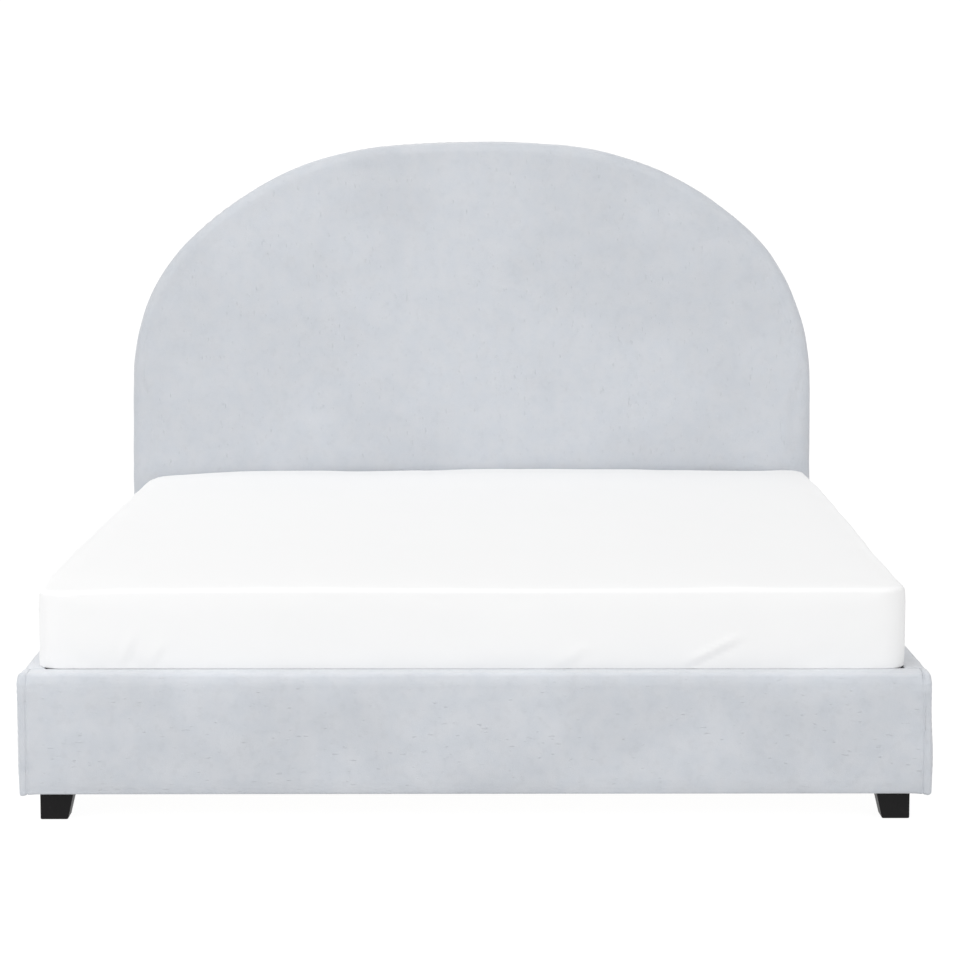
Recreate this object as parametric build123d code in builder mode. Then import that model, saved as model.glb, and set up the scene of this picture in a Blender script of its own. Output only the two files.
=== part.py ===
from build123d import *
import math
import os

os.makedirs("parts", exist_ok=True)

# Upholstered double bed with an arched headboard, in millimetres.
# The origin is on the floor at the centre of the footprint, +X is to the right seen
# from the foot end, +Y points to the headboard and +Z up.

# Mattress in its fitted sheet
mattress_width = 1600
mattress_length = 2000
mattress_side_height = 197
mattress_crown = 5
mattress_corner_radius = 56
mattress_tuck = 24
mattress_belly_height = 110
mattress_shoulder_draw = 1
mattress_shoulder_radius = 18
mattress_crown_flat = 200
mattress_turn_degrees = -0.3
comfort_layer_height = 50
sheet_thickness = 0.8
sheet_clearance = 0.2
sheet_hem = 120

# Outside of the frame
foot_height = 50
base_height = 224
headboard_height = 1238
footboard_thickness = 70
headboard_thickness = 80
rail_thickness = 42
mattress_seat = 228
mattress_side_overlap = 2
mattress_foot_gap = 2
mattress_head_gap = 14

# Covers, pads and the gaps between soft and hard pieces
fabric = 1.5
soft_gap = 0.3
footboard_front_foam = 12
footboard_back_foam = 9
footboard_top_foam = 12
footboard_end_foam = 8
rail_outer_foam = 8
rail_inner_foam = 4
rail_top_foam = 8
headboard_front_foam = 25
headboard_edge_foam = 8
cover_slit = 12

# Roundings of the padded edges
footboard_front_radius = 24
footboard_back_radius = 12
footboard_bottom_radius = 10
footboard_end_radius = 8
rail_outer_radius = 18
rail_inner_radius = 9
rail_bottom_radius = 5
headboard_front_radius = 26

# Boards and timbers
footboard_board = 12
spacer_width = 80
spacer_count = 5
headboard_panel_board = 9
post_width = 80
bottom_rail_height = 60
hanger_rail_height = 80
top_rail_height = 60
hanger_rail_drop = 5
rib_drop = 102
lining_hem = 60
ledger_height = 40
ledger_width = 25
ledger_end_gap = 5

# Arch of the headboard: radii as shares of the frame's width, angles from upright
arch_crown_share = 1.4625
arch_shoulder_share = 0.469
arch_crown_angle = 5
arch_shoulder_angle = 43.7

# Tapered block feet
foot_top_width = 62
foot_bottom_width = 51
foot_edge_radius = 3
foot_side_inset = 36
foot_end_inset = 22
stud_depth = 28
stud_rise = 34
stud_end_inset = 38

# Corner brackets and fasteners
bracket_thickness = 3
bracket_leg = 60
bracket_height = 90
bracket_rise = 22
bracket_bolt_inset = 30
bracket_bolt_margin = 24
bolt_radius = 4
bolt_head_radius = 7
bolt_head_height = 5
hole_gap = 0.3
rail_bolt_length = 32
foot_bolt_length = 42
head_bolt_length = 70
screw_radius = 2.5
screw_head_radius = 5
screw_head_height = 3
ledger_screw_length = 45
ledger_screw_count = 6
ledger_screw_inset = 90
hanger_foot_screw_length = 40
hanger_head_screw_length = 60
leg_screw_length = 25

# Slats and their caps
slat_width = 68
slat_thickness = 8
slat_bow = 6
slat_rows = 14
slat_end_margin = 60
slat_seat_gap = 0.3
cap_wall = 3
cap_roof = 2.5
cap_gap = 0.3
cap_grip = 35
cap_middle_wall = 20
cap_rail_gap = 0.5

# Centre beam, its hangers and its legs
beam_width = 45
beam_height = 60
beam_end_gap = 1
hanger_thickness = 3
hanger_depth = 50
hanger_side_height = 40
hanger_plate_width = 84
hanger_screw_offset = 34
hanger_screw_height = 22
leg_count = 3
leg_pitch = 500
leg_radius = 15
leg_bore_radius = 13
leg_plug_height = 30
leg_plate_length = 90
leg_plate_thickness = 3
leg_screw_offset = 34
glide_radius = 22
glide_height = 8
glide_edge = 1.5
glide_stem_radius = 5
glide_stem_length = 52
glide_running_gap = 0.05

# Derived outside sizes
well_half = mattress_width / 2 - mattress_side_overlap
frame_width = 2 * (well_half + rail_thickness)
frame_half = frame_width / 2
well_length = mattress_foot_gap + mattress_length + mattress_head_gap
frame_length = footboard_thickness + well_length + headboard_thickness
foot_y = -frame_length / 2
well_foot_y = foot_y + footboard_thickness
well_head_y = well_foot_y + well_length
head_y = frame_length / 2
base_top = foot_height + base_height
board_floor = foot_height + fabric

# Heights of the slatted base, from the mattress down
slat_crown_top = mattress_seat - slat_seat_gap
slat_end_top = slat_crown_top - slat_bow
slat_end_floor = slat_end_top - slat_thickness
ledger_top = slat_end_floor - cap_gap - cap_wall
beam_floor = ledger_top - beam_height
ledger_inner = well_half - ledger_width

# Posts and the front of the headboard's timbers
headboard_core_inset = fabric + headboard_edge_foam + soft_gap
post_outer = frame_half - headboard_core_inset
post_inner = post_outer - post_width
panel_front_y = well_head_y + fabric + headboard_front_foam
timber_front_y = panel_front_y + headboard_panel_board
timber_back_y = head_y - fabric


def save(piece, name):
    """Labels a finished piece and writes it under its node's name."""
    piece.part.label = name
    export_step(piece.part, f"parts/{name}.step")


def upright_plane(y):
    """The plane of an outline seen from the foot end, at that y."""
    return Plane.XZ.offset(-y)


def block(x_low, x_high, y_low, y_high, z_low, z_high, mode=Mode.ADD):
    """A square-edged block between two corners."""
    middle = ((x_low + x_high) / 2, (y_low + y_high) / 2, (z_low + z_high) / 2)
    with Locations(middle):
        Box(x_high - x_low, y_high - y_low, z_high - z_low, mode=mode)


def rounded_section(left, right, low, high, left_top, right_top, bottom):
    """A rectangle with its own rounding at each top corner and one for both below."""
    with BuildSketch() as section:
        with BuildLine():
            FilletPolyline(
                (left, low), (right, low), (right, high), (left, high),
                radius=[bottom, bottom, right_top, left_top],
                close=True,
            )
        make_face()
    return section.sketch


def drill(places, radius, depth):
    """Holes of one radius that run along the places' own z directions."""
    with Locations(*places):
        Cylinder(radius, depth, align=(Align.CENTER, Align.CENTER, Align.MIN), mode=Mode.SUBTRACT)


def fasteners(places, radius, length, head_radius, head_height):
    """Round-headed fasteners whose heads sit on the places and whose shanks run in."""
    with Locations(*places):
        Cylinder(radius, length, align=(Align.CENTER, Align.CENTER, Align.MIN))
        Cylinder(head_radius, head_height, align=(Align.CENTER, Align.CENTER, Align.MAX))


# Places of the fasteners, with z along each shank
bracket_floor = foot_height + bracket_rise
bracket_top = bracket_floor + bracket_height
bolt_heights = (bracket_floor + bracket_bolt_margin, bracket_top - bracket_bolt_margin)
foot_bolt_places = []
head_bolt_places = []
rail_bolt_places = []
for side in (-1, 1):
    for z in bolt_heights:
        end_x = side * (well_half - bracket_bolt_inset)
        rail_x = side * (well_half - bracket_thickness)
        foot_place = (end_x, well_foot_y + bracket_thickness, z)
        head_place = (end_x, well_head_y - bracket_thickness, z)
        foot_bolt_places.append(Plane(origin=foot_place, z_dir=(0, -1, 0)))
        head_bolt_places.append(Plane(origin=head_place, z_dir=(0, 1, 0)))
        for y in (well_foot_y + bracket_bolt_inset, well_head_y - bracket_bolt_inset):
            rail_bolt_places.append(Plane(origin=(rail_x, y, z), z_dir=(side, 0, 0)))

ledger_screw_places = []
ledger_screw_pitch = (well_length - 2 * ledger_screw_inset) / (ledger_screw_count - 1)
for side in (-1, 1):
    for number in range(ledger_screw_count):
        y = well_foot_y + ledger_screw_inset + number * ledger_screw_pitch
        z = ledger_top - ledger_height / 2
        ledger_screw_places.append(Plane(origin=(side * ledger_inner, y, z), z_dir=(side, 0, 0)))

hanger_foot_places = []
hanger_head_places = []
for side in (-1, 1):
    x = side * hanger_screw_offset
    z = beam_floor + hanger_screw_height
    hanger_foot_places.append(Plane(origin=(x, well_foot_y + hanger_thickness, z), z_dir=(0, -1, 0)))
    hanger_head_places.append(Plane(origin=(x, well_head_y - hanger_thickness, z), z_dir=(0, 1, 0)))

leg_ys = [(number - (leg_count - 1) / 2) * leg_pitch for number in range(leg_count)]
leg_screw_places = []
for leg_y in leg_ys:
    for side in (-1, 1):
        place = (0, leg_y + side * leg_screw_offset, beam_floor - leg_plate_thickness)
        leg_screw_places.append(Plane(origin=place, z_dir=(0, 0, 1)))

foot_outer_x = frame_half - foot_side_inset
foot_outer_y = head_y - foot_end_inset
stud_x = foot_outer_x - foot_top_width / 2
stud_y = head_y - stud_end_inset
stud_places = []
for side in (-1, 1):
    for end in (-1, 1):
        place = (side * stud_x, end * stud_y, foot_height - stud_depth)
        stud_places.append(Plane(origin=place, z_dir=(0, 0, 1)))
stud_length = stud_depth + stud_rise


# Outline of the headboard: a crown arc, then a shoulder and a haunch arc on each side
arch_crown_radius = frame_width * arch_crown_share
arch_shoulder_radius = frame_width * arch_shoulder_share


def arc_point(centre, radius, angle):
    """The point of an arc at an angle from upright."""
    turn = math.radians(angle)
    return (centre[0] + radius * math.sin(turn), centre[1] + radius * math.cos(turn))


crown_centre = (0, headboard_height - arch_crown_radius)
shoulder_centre = arc_point(crown_centre, arch_crown_radius - arch_shoulder_radius, arch_crown_angle)
shoulder_end = arc_point(shoulder_centre, arch_shoulder_radius, arch_shoulder_angle)
haunch_reach = 1 - math.sin(math.radians(arch_shoulder_angle))
arch_haunch_radius = (frame_half - shoulder_end[0]) / haunch_reach
haunch_centre = arc_point(
    shoulder_centre, arch_shoulder_radius - arch_haunch_radius, arch_shoulder_angle
)
quarter_turn = 90
rib_start_height = haunch_centre[1] - rib_drop


def arch_arc(centre, radius, start, end, side):
    """One arc of the outline; side is -1 on the left and 1 on the right."""
    points = [arc_point(centre, radius, angle) for angle in (start, (start + end) / 2, end)]
    ThreePointArc(*[(side * x, z) for x, z in points])


def arch_face(inset, floor):
    """The headboard's outline drawn in by inset and cut off level at the floor."""
    half = frame_half - inset
    haunch = arch_haunch_radius - inset
    shoulder = arch_shoulder_radius - inset
    with BuildSketch() as face:
        with BuildLine():
            Line((-half, floor), (half, floor))
            for side in (-1, 1):
                Line((side * half, floor), (side * half, haunch_centre[1]))
                arch_arc(haunch_centre, haunch, quarter_turn, arch_shoulder_angle, side)
                arch_arc(shoulder_centre, shoulder, arch_shoulder_angle, arch_crown_angle, side)
            arch_arc(crown_centre, arch_crown_radius - inset, -arch_crown_angle, arch_crown_angle, 1)
        make_face()
    return face.sketch


# Headboard
with BuildPart() as headboard_inside:
    with BuildSketch(upright_plane(well_head_y + fabric)):
        add(arch_face(fabric, board_floor))
    extrude(amount=-(headboard_thickness - 2 * fabric))
    front = headboard_inside.faces().sort_by(Axis.Y)[0]
    fillet(front.edges(), headboard_front_radius - fabric)

with BuildPart() as headboard_cover:
    with BuildSketch(upright_plane(well_head_y)):
        add(arch_face(0, foot_height))
    extrude(amount=-headboard_thickness)
    front = headboard_cover.faces().sort_by(Axis.Y)[0]
    fillet(front.edges(), headboard_front_radius)
    back = headboard_cover.faces().sort_by(Axis.Y)[-1]
    fillet(back.edges(), fabric)
    add(headboard_inside.part, mode=Mode.SUBTRACT)
    with BuildSketch(upright_plane(timber_back_y)):
        add(arch_face(lining_hem, foot_height + lining_hem))
    extrude(amount=-fabric, mode=Mode.SUBTRACT)
    drill(head_bolt_places, bolt_radius + hole_gap, head_bolt_length)
    drill(hanger_head_places, screw_radius + hole_gap, hanger_head_screw_length)
    drill(stud_places, bolt_radius + hole_gap, stud_length)
save(headboard_cover, "headboard_cover")

with BuildPart() as headboard_lining:
    with BuildSketch(upright_plane(timber_back_y)):
        add(arch_face(lining_hem + soft_gap, foot_height + lining_hem + soft_gap))
    extrude(amount=-fabric)
save(headboard_lining, "headboard_lining")

with BuildPart() as headboard_foam:
    with BuildSketch(upright_plane(well_head_y + fabric + soft_gap)):
        add(arch_face(fabric + soft_gap, board_floor + soft_gap))
    extrude(amount=-(headboard_thickness - 2 * fabric - 2 * soft_gap))
    front = headboard_foam.faces().sort_by(Axis.Y)[0]
    fillet(front.edges(), headboard_front_radius - fabric - soft_gap)
    with BuildSketch(upright_plane(panel_front_y)):
        add(arch_face(fabric + headboard_edge_foam, foot_height))
    extrude(amount=-headboard_thickness, mode=Mode.SUBTRACT)
    drill(head_bolt_places, bolt_radius + hole_gap, head_bolt_length)
    drill(hanger_head_places, screw_radius + hole_gap, hanger_head_screw_length)
save(headboard_foam, "headboard_foam")

with BuildPart() as headboard_panel:
    with BuildSketch(upright_plane(panel_front_y)):
        add(arch_face(headboard_core_inset, board_floor))
    extrude(amount=-headboard_panel_board)
    drill(head_bolt_places, bolt_radius + hole_gap, head_bolt_length)
    drill(hanger_head_places, screw_radius + hole_gap, hanger_head_screw_length)
save(headboard_panel, "headboard_panel")

for side, side_name in ((-1, "left"), (1, "right")):
    post_xs = sorted((side * post_inner, side * post_outer))
    with BuildPart() as headboard_post:
        block(*post_xs, timber_front_y, timber_back_y, board_floor, rib_start_height)
        drill(head_bolt_places, bolt_radius + hole_gap, head_bolt_length)
        drill(stud_places, bolt_radius + hole_gap, stud_length)
    save(headboard_post, f"headboard_post_{side_name}")

with BuildPart() as headboard_cross_rails:
    hanger_rail_floor = beam_floor - hanger_rail_drop
    for floor, height in (
        (board_floor, bottom_rail_height),
        (hanger_rail_floor, hanger_rail_height),
        (rib_start_height - top_rail_height, top_rail_height),
    ):
        block(-post_inner, post_inner, timber_front_y, timber_back_y, floor, floor + height)
    drill(hanger_head_places, screw_radius + hole_gap, hanger_head_screw_length)
save(headboard_cross_rails, "headboard_cross_rails")

with BuildPart() as headboard_arch_rib:
    with BuildSketch(upright_plane(timber_front_y)):
        add(arch_face(headboard_core_inset, rib_start_height))
    extrude(amount=-(timber_back_y - timber_front_y))
    with BuildSketch(upright_plane(timber_front_y)):
        add(arch_face(headboard_core_inset + post_width, board_floor))
    extrude(amount=-(timber_back_y - timber_front_y), mode=Mode.SUBTRACT)
save(headboard_arch_rib, "headboard_arch_rib")


# Footboard: two boards on spacer blocks, a foam wrap and a cover folded under
footboard_core_front = foot_y + fabric + footboard_front_foam
footboard_core_back = well_foot_y - fabric - footboard_back_foam
footboard_core_top = base_top - fabric - footboard_top_foam
footboard_core_half = frame_half - fabric - footboard_end_foam
spacer_front = footboard_core_front + footboard_board
spacer_back = footboard_core_back - footboard_board


def footboard_body(inset):
    """The footboard's padded outside, drawn in all round by inset."""
    section = rounded_section(
        foot_y + inset,
        well_foot_y - inset,
        foot_height + inset,
        base_top - inset,
        footboard_front_radius - inset,
        footboard_back_radius - inset,
        footboard_bottom_radius - inset,
    )
    with BuildPart() as body:
        with BuildSketch(Plane.YZ.offset(inset - frame_half)):
            add(section)
        extrude(amount=frame_width - 2 * inset)
        for number in (0, -1):
            end = body.faces().sort_by(Axis.X)[number]
            fillet(end.edges(), footboard_end_radius - inset)
    return body.part


with BuildPart() as footboard_cover:
    add(footboard_body(0))
    add(footboard_body(fabric), mode=Mode.SUBTRACT)
    slit_half = foot_outer_x - foot_top_width - cover_slit
    slit_y = (foot_y + well_foot_y) / 2
    block(
        -slit_half, slit_half, slit_y - cover_slit / 2, slit_y + cover_slit / 2,
        foot_height - fabric, foot_height + 2 * fabric, mode=Mode.SUBTRACT,
    )
    drill(foot_bolt_places, bolt_radius + hole_gap, foot_bolt_length)
    drill(hanger_foot_places, screw_radius + hole_gap, hanger_foot_screw_length)
    drill(stud_places, bolt_radius + hole_gap, stud_length)
save(footboard_cover, "footboard_cover")

with BuildPart() as footboard_foam:
    add(footboard_body(fabric + soft_gap))
    block(
        -footboard_core_half, footboard_core_half, footboard_core_front, footboard_core_back,
        foot_height, footboard_core_top, mode=Mode.SUBTRACT,
    )
    drill(foot_bolt_places, bolt_radius + hole_gap, foot_bolt_length)
    drill(hanger_foot_places, screw_radius + hole_gap, hanger_foot_screw_length)
save(footboard_foam, "footboard_foam")

with BuildPart() as footboard_front_board:
    block(
        -footboard_core_half, footboard_core_half, footboard_core_front, spacer_front,
        board_floor, footboard_core_top,
    )
save(footboard_front_board, "footboard_front_board")

with BuildPart() as footboard_back_board:
    block(
        -footboard_core_half, footboard_core_half, spacer_back, footboard_core_back,
        board_floor, footboard_core_top,
    )
    drill(foot_bolt_places, bolt_radius + hole_gap, foot_bolt_length)
    drill(hanger_foot_places, screw_radius + hole_gap, hanger_foot_screw_length)
save(footboard_back_board, "footboard_back_board")

with BuildPart() as footboard_spacers:
    spacer_pitch = (2 * footboard_core_half - spacer_width) / (spacer_count - 1)
    for number in range(spacer_count):
        x = number * spacer_pitch - footboard_core_half
        block(x, x + spacer_width, spacer_front, spacer_back, board_floor, footboard_core_top)
    drill(foot_bolt_places, bolt_radius + hole_gap, foot_bolt_length)
    drill(hanger_foot_places, screw_radius + hole_gap, hanger_foot_screw_length)
    drill(stud_places, bolt_radius + hole_gap, stud_length)
save(footboard_spacers, "footboard_spacers")


# Side rails: a board with a foam wrap in a fabric sleeve that meets underneath
rail_foot_y = well_foot_y + soft_gap
rail_length = well_length - 2 * soft_gap
board_inner = well_half + fabric + rail_inner_foam
board_outer = frame_half - fabric - rail_outer_foam
rail_board_top = base_top - fabric - rail_top_foam


def rail_body(inset):
    """The right rail's padded outside, drawn in round its length by inset."""
    section = rounded_section(
        well_half + inset,
        frame_half - inset,
        foot_height + inset,
        base_top - inset,
        rail_inner_radius - inset,
        rail_outer_radius - inset,
        rail_bottom_radius - inset,
    )
    with BuildPart() as body:
        with BuildSketch(upright_plane(rail_foot_y)):
            add(section)
        extrude(amount=-rail_length)
    return body.part


def rail_holes():
    """Clearance holes of the bracket bolts and the ledger screws."""
    drill(rail_bolt_places, bolt_radius + hole_gap, rail_bolt_length)
    drill(ledger_screw_places, screw_radius + hole_gap, ledger_screw_length)


with BuildPart() as side_rail_cover:
    add(rail_body(0))
    add(rail_body(fabric), mode=Mode.SUBTRACT)
    slit_x = well_half + rail_thickness / 2
    block(
        slit_x - cover_slit / 2, slit_x + cover_slit / 2, rail_foot_y, rail_foot_y + rail_length,
        foot_height - fabric, foot_height + 2 * fabric, mode=Mode.SUBTRACT,
    )
    rail_holes()

with BuildPart() as side_rail_foam:
    add(rail_body(fabric + soft_gap))
    block(
        board_inner, board_outer, rail_foot_y, rail_foot_y + rail_length,
        foot_height, rail_board_top, mode=Mode.SUBTRACT,
    )
    rail_holes()

with BuildPart() as side_rail_board:
    block(
        board_inner, board_outer, rail_foot_y, rail_foot_y + rail_length,
        board_floor, rail_board_top,
    )
    rail_holes()

with BuildPart() as slat_ledger:
    block(
        ledger_inner, well_half, well_foot_y + ledger_end_gap, well_head_y - ledger_end_gap,
        ledger_top - ledger_height, ledger_top,
    )
    drill(ledger_screw_places, screw_radius + hole_gap, ledger_screw_length)

for right_piece, piece_name in (
    (side_rail_cover, "side_rail_cover"),
    (side_rail_foam, "side_rail_foam"),
    (side_rail_board, "side_rail_board"),
    (slat_ledger, "slat_ledger"),
):
    save(right_piece, f"{piece_name}_right")
    with BuildPart() as left_piece:
        mirror(right_piece.part, about=Plane.YZ)
    save(left_piece, f"{piece_name}_left")


# Corner brackets: one plate on the end board, one along the rail
for side, side_name in ((-1, "left"), (1, "right")):
    for wall_y, inward, end_name in ((well_foot_y, 1, "foot"), (well_head_y, -1, "head")):
        end_xs = sorted((side * (well_half - bracket_leg), side * well_half))
        end_ys = sorted((wall_y, wall_y + inward * bracket_thickness))
        rail_xs = sorted((side * (well_half - bracket_thickness), side * well_half))
        rail_ys = sorted((wall_y, wall_y + inward * bracket_leg))
        with BuildPart() as corner_bracket:
            block(*end_xs, *end_ys, bracket_floor, bracket_top)
            block(*rail_xs, *rail_ys, bracket_floor, bracket_top)
            drill(foot_bolt_places, bolt_radius + hole_gap, foot_bolt_length)
            drill(head_bolt_places, bolt_radius + hole_gap, head_bolt_length)
            drill(rail_bolt_places, bolt_radius + hole_gap, rail_bolt_length)
        save(corner_bracket, f"corner_bracket_{end_name}_{side_name}")

with BuildPart() as corner_bolts:
    for places, length in (
        (foot_bolt_places, foot_bolt_length),
        (head_bolt_places, head_bolt_length),
        (rail_bolt_places, rail_bolt_length),
    ):
        fasteners(places, bolt_radius, length, bolt_head_radius, bolt_head_height)
save(corner_bolts, "corner_bolts")

with BuildPart() as wood_screws:
    for places, length in (
        (ledger_screw_places, ledger_screw_length),
        (hanger_foot_places, hanger_foot_screw_length),
        (hanger_head_places, hanger_head_screw_length),
        (leg_screw_places, leg_screw_length),
    ):
        fasteners(places, screw_radius, length, screw_head_radius, screw_head_height)
save(wood_screws, "wood_screws")


# Block feet: the outer side and the end side stand upright, the two others taper
for side, side_name in ((-1, "left"), (1, "right")):
    for end, end_name in ((-1, "foot"), (1, "head")):
        with BuildPart() as block_foot:
            for height, width in ((0, foot_bottom_width), (foot_height, foot_top_width)):
                centre = (side * (foot_outer_x - width / 2), end * (foot_outer_y - width / 2))
                with BuildSketch(Plane.XY.offset(height)):
                    with Locations(centre):
                        RectangleRounded(width, width, foot_edge_radius)
            loft(ruled=True)
            drill(stud_places, bolt_radius + hole_gap, stud_length)
        save(block_foot, f"block_foot_{end_name}_{side_name}")

with BuildPart() as foot_studs:
    with Locations(*stud_places):
        Cylinder(bolt_radius, stud_length, align=(Align.CENTER, Align.CENTER, Align.MIN))
save(foot_studs, "foot_studs")


# Slats: each row has two, bowed upwards, held in plastic caps
slat_pitch = (well_length - 2 * slat_end_margin) / (slat_rows - 1)
slat_ys = [well_foot_y + slat_end_margin + row * slat_pitch for row in range(slat_rows)]
slat_inner_x = cap_middle_wall / 2 + cap_gap
slat_outer_x = well_half - cap_rail_gap - cap_wall - cap_gap
slat_middle_x = (slat_inner_x + slat_outer_x) / 2
slat_half = (slat_outer_x - slat_inner_x) / 2
cap_rise = slat_bow * (1 - ((slat_half - cap_grip) / slat_half) ** 2)
cap_top = slat_end_top + cap_rise + cap_gap + cap_roof
pocket_floor = ledger_top + cap_wall
pocket_top = cap_top - cap_roof
cap_half_width = slat_width / 2 + cap_gap + cap_wall


def slat_section(side):
    """The long section of a slat: two flat bows joined by square ends."""
    inner = side * slat_inner_x
    outer = side * slat_outer_x
    middle = side * slat_middle_x
    with BuildSketch() as section:
        with BuildLine():
            crown_floor = slat_end_floor + slat_bow
            ThreePointArc((inner, slat_end_floor), (middle, crown_floor), (outer, slat_end_floor))
            Line((outer, slat_end_floor), (outer, slat_end_top))
            ThreePointArc((outer, slat_end_top), (middle, slat_crown_top), (inner, slat_end_top))
            Line((inner, slat_end_top), (inner, slat_end_floor))
        make_face()
    return section.sketch


for row, slat_y in enumerate(slat_ys):
    with BuildPart() as slat_row:
        with BuildSketch(upright_plane(slat_y - slat_width / 2)):
            for side in (-1, 1):
                add(slat_section(side))
        extrude(amount=-slat_width)
    save(slat_row, f"slat_row_{row + 1:02d}")


def pocket(x_low, x_high, y):
    """The space in a cap that takes the end of a slat."""
    half = slat_width / 2 + cap_gap
    block(x_low, x_high, y - half, y + half, pocket_floor, pocket_top, mode=Mode.SUBTRACT)


with BuildPart() as slat_caps_outer:
    for slat_y in slat_ys:
        for side in (-1, 1):
            cap_xs = sorted((side * (slat_outer_x - cap_grip), side * (well_half - cap_rail_gap)))
            pocket_xs = sorted((side * (slat_outer_x - cap_grip), side * (slat_outer_x + cap_gap)))
            block(*cap_xs, slat_y - cap_half_width, slat_y + cap_half_width, ledger_top, cap_top)
            pocket(*pocket_xs, slat_y)
save(slat_caps_outer, "slat_caps_outer")

with BuildPart() as slat_caps_centre:
    for slat_y in slat_ys:
        reach = slat_inner_x + cap_grip
        block(-reach, reach, slat_y - cap_half_width, slat_y + cap_half_width, ledger_top, cap_top)
        for side in (-1, 1):
            pocket(*sorted((side * cap_middle_wall / 2, side * reach)), slat_y)
save(slat_caps_centre, "slat_caps_centre")


# Centre beam in two hangers, on three legs with levelling glides
with BuildPart() as centre_beam:
    beam_foot_y = well_foot_y + hanger_thickness + beam_end_gap
    beam_head_y = well_head_y - hanger_thickness - beam_end_gap
    block(-beam_width / 2, beam_width / 2, beam_foot_y, beam_head_y, beam_floor, ledger_top)
    drill(leg_screw_places, screw_radius + hole_gap, leg_screw_length)
save(centre_beam, "centre_beam")

for wall_y, inward, end_name in ((well_foot_y, 1, "foot"), (well_head_y, -1, "head")):
    plate_ys = sorted((wall_y, wall_y + inward * hanger_thickness))
    cradle_ys = sorted((wall_y, wall_y + inward * hanger_depth))
    cradle_inner = beam_width / 2 + soft_gap
    cradle_outer = cradle_inner + hanger_thickness
    hanger_floor = beam_floor - hanger_thickness
    hanger_top = beam_floor + hanger_side_height
    with BuildPart() as beam_hanger:
        plate_half_width = hanger_plate_width / 2
        block(-plate_half_width, plate_half_width, *plate_ys, hanger_floor, hanger_top)
        block(-cradle_outer, cradle_outer, *cradle_ys, hanger_floor, beam_floor)
        for side in (-1, 1):
            side_xs = sorted((side * cradle_inner, side * cradle_outer))
            block(*side_xs, *cradle_ys, hanger_floor, hanger_top)
        drill(hanger_foot_places, screw_radius + hole_gap, hanger_foot_screw_length)
        drill(hanger_head_places, screw_radius + hole_gap, hanger_head_screw_length)
    save(beam_hanger, f"beam_hanger_{end_name}")

leg_floor = glide_height + soft_gap
leg_top = beam_floor - leg_plate_thickness
for number, leg_y in enumerate(leg_ys):
    with BuildPart() as centre_leg:
        with BuildSketch(Plane.XY.offset(leg_floor)):
            with Locations((0, leg_y)):
                Circle(leg_radius)
        extrude(amount=leg_top - leg_floor)
        with BuildSketch(Plane.XY.offset(leg_floor + leg_plug_height)):
            with Locations((0, leg_y)):
                Circle(leg_bore_radius)
        extrude(amount=leg_top - leg_floor - leg_plug_height, mode=Mode.SUBTRACT)
        with BuildSketch(Plane.XY.offset(leg_floor)):
            with Locations((0, leg_y)):
                Circle(glide_stem_radius + glide_running_gap)
        extrude(amount=leg_plug_height, mode=Mode.SUBTRACT)
        plate_ys = (leg_y - leg_plate_length / 2, leg_y + leg_plate_length / 2)
        block(-beam_width / 2, beam_width / 2, *plate_ys, leg_top, beam_floor)
        drill(leg_screw_places, screw_radius + hole_gap, leg_screw_length)
    save(centre_leg, f"centre_leg_{number + 1}")

    with BuildPart() as centre_glide:
        with Locations((0, leg_y, 0)):
            Cylinder(glide_radius, glide_height, align=(Align.CENTER, Align.CENTER, Align.MIN))
        rim = centre_glide.edges().group_by(Axis.Z)[-1]
        chamfer(rim, glide_edge)
        with Locations((0, leg_y, glide_height)):
            Cylinder(
                glide_stem_radius, glide_stem_length, align=(Align.CENTER, Align.CENTER, Align.MIN)
            )
    save(centre_glide, f"centre_glide_{number + 1}")


# Mattress: level outlines lofted from the drawn-in underside to the crown
mattress_height = mattress_side_height + mattress_crown
mattress_middle_y = well_foot_y + mattress_foot_gap + mattress_length / 2
mattress_turn = math.radians(mattress_turn_degrees)
mattress_plane = Plane(
    origin=(0, mattress_middle_y, mattress_seat),
    x_dir=(math.cos(mattress_turn), math.sin(mattress_turn), 0),
    z_dir=(0, 0, 1),
)
shoulder_height = mattress_side_height - mattress_shoulder_radius
shoulder_inset = mattress_shoulder_draw + mattress_shoulder_radius
crown_run = mattress_width / 2 - shoulder_inset - mattress_crown_flat / 2
side_steps = 8
shoulder_steps = 5
crown_steps = 6
crown_corner_share = 0.45


def mattress_levels():
    """Height above the underside, side inset and corner radius of each level outline."""
    levels = []
    for step in range(side_steps):
        height = shoulder_height * step / side_steps
        above = height - mattress_belly_height
        if above < 0:
            draw = mattress_tuck * (above / mattress_belly_height) ** 2
        else:
            draw = mattress_shoulder_draw * (above / (shoulder_height - mattress_belly_height)) ** 2
        levels.append((height, draw, mattress_corner_radius - draw))
    for step in range(shoulder_steps + 1):
        turn = math.radians(quarter_turn * step / shoulder_steps)
        height = shoulder_height + mattress_shoulder_radius * math.sin(turn)
        draw = mattress_shoulder_draw + mattress_shoulder_radius * (1 - math.cos(turn))
        levels.append((height, draw, mattress_corner_radius - draw))
    shoulder_corner = mattress_corner_radius - shoulder_inset
    crown_corner = mattress_crown_flat * crown_corner_share
    for step in range(1, crown_steps + 1):
        share = step / crown_steps
        height = mattress_side_height + mattress_crown * (1 - (1 - share) ** 2)
        corner = shoulder_corner + (crown_corner - shoulder_corner) * share
        levels.append((height, shoulder_inset + crown_run * share, corner))
    return levels


def mattress_body(inset):
    """The mattress's form, drawn in all over by inset."""
    squeeze = (mattress_height - 2 * inset) / mattress_height
    with BuildPart() as body:
        for height, draw, corner in mattress_levels():
            width = mattress_width - 2 * (draw + inset)
            length = mattress_length - 2 * (draw + inset)
            with BuildSketch(mattress_plane.offset(inset + height * squeeze)):
                RectangleRounded(width, length, corner - inset)
        loft(ruled=True)
    return body.part


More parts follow.
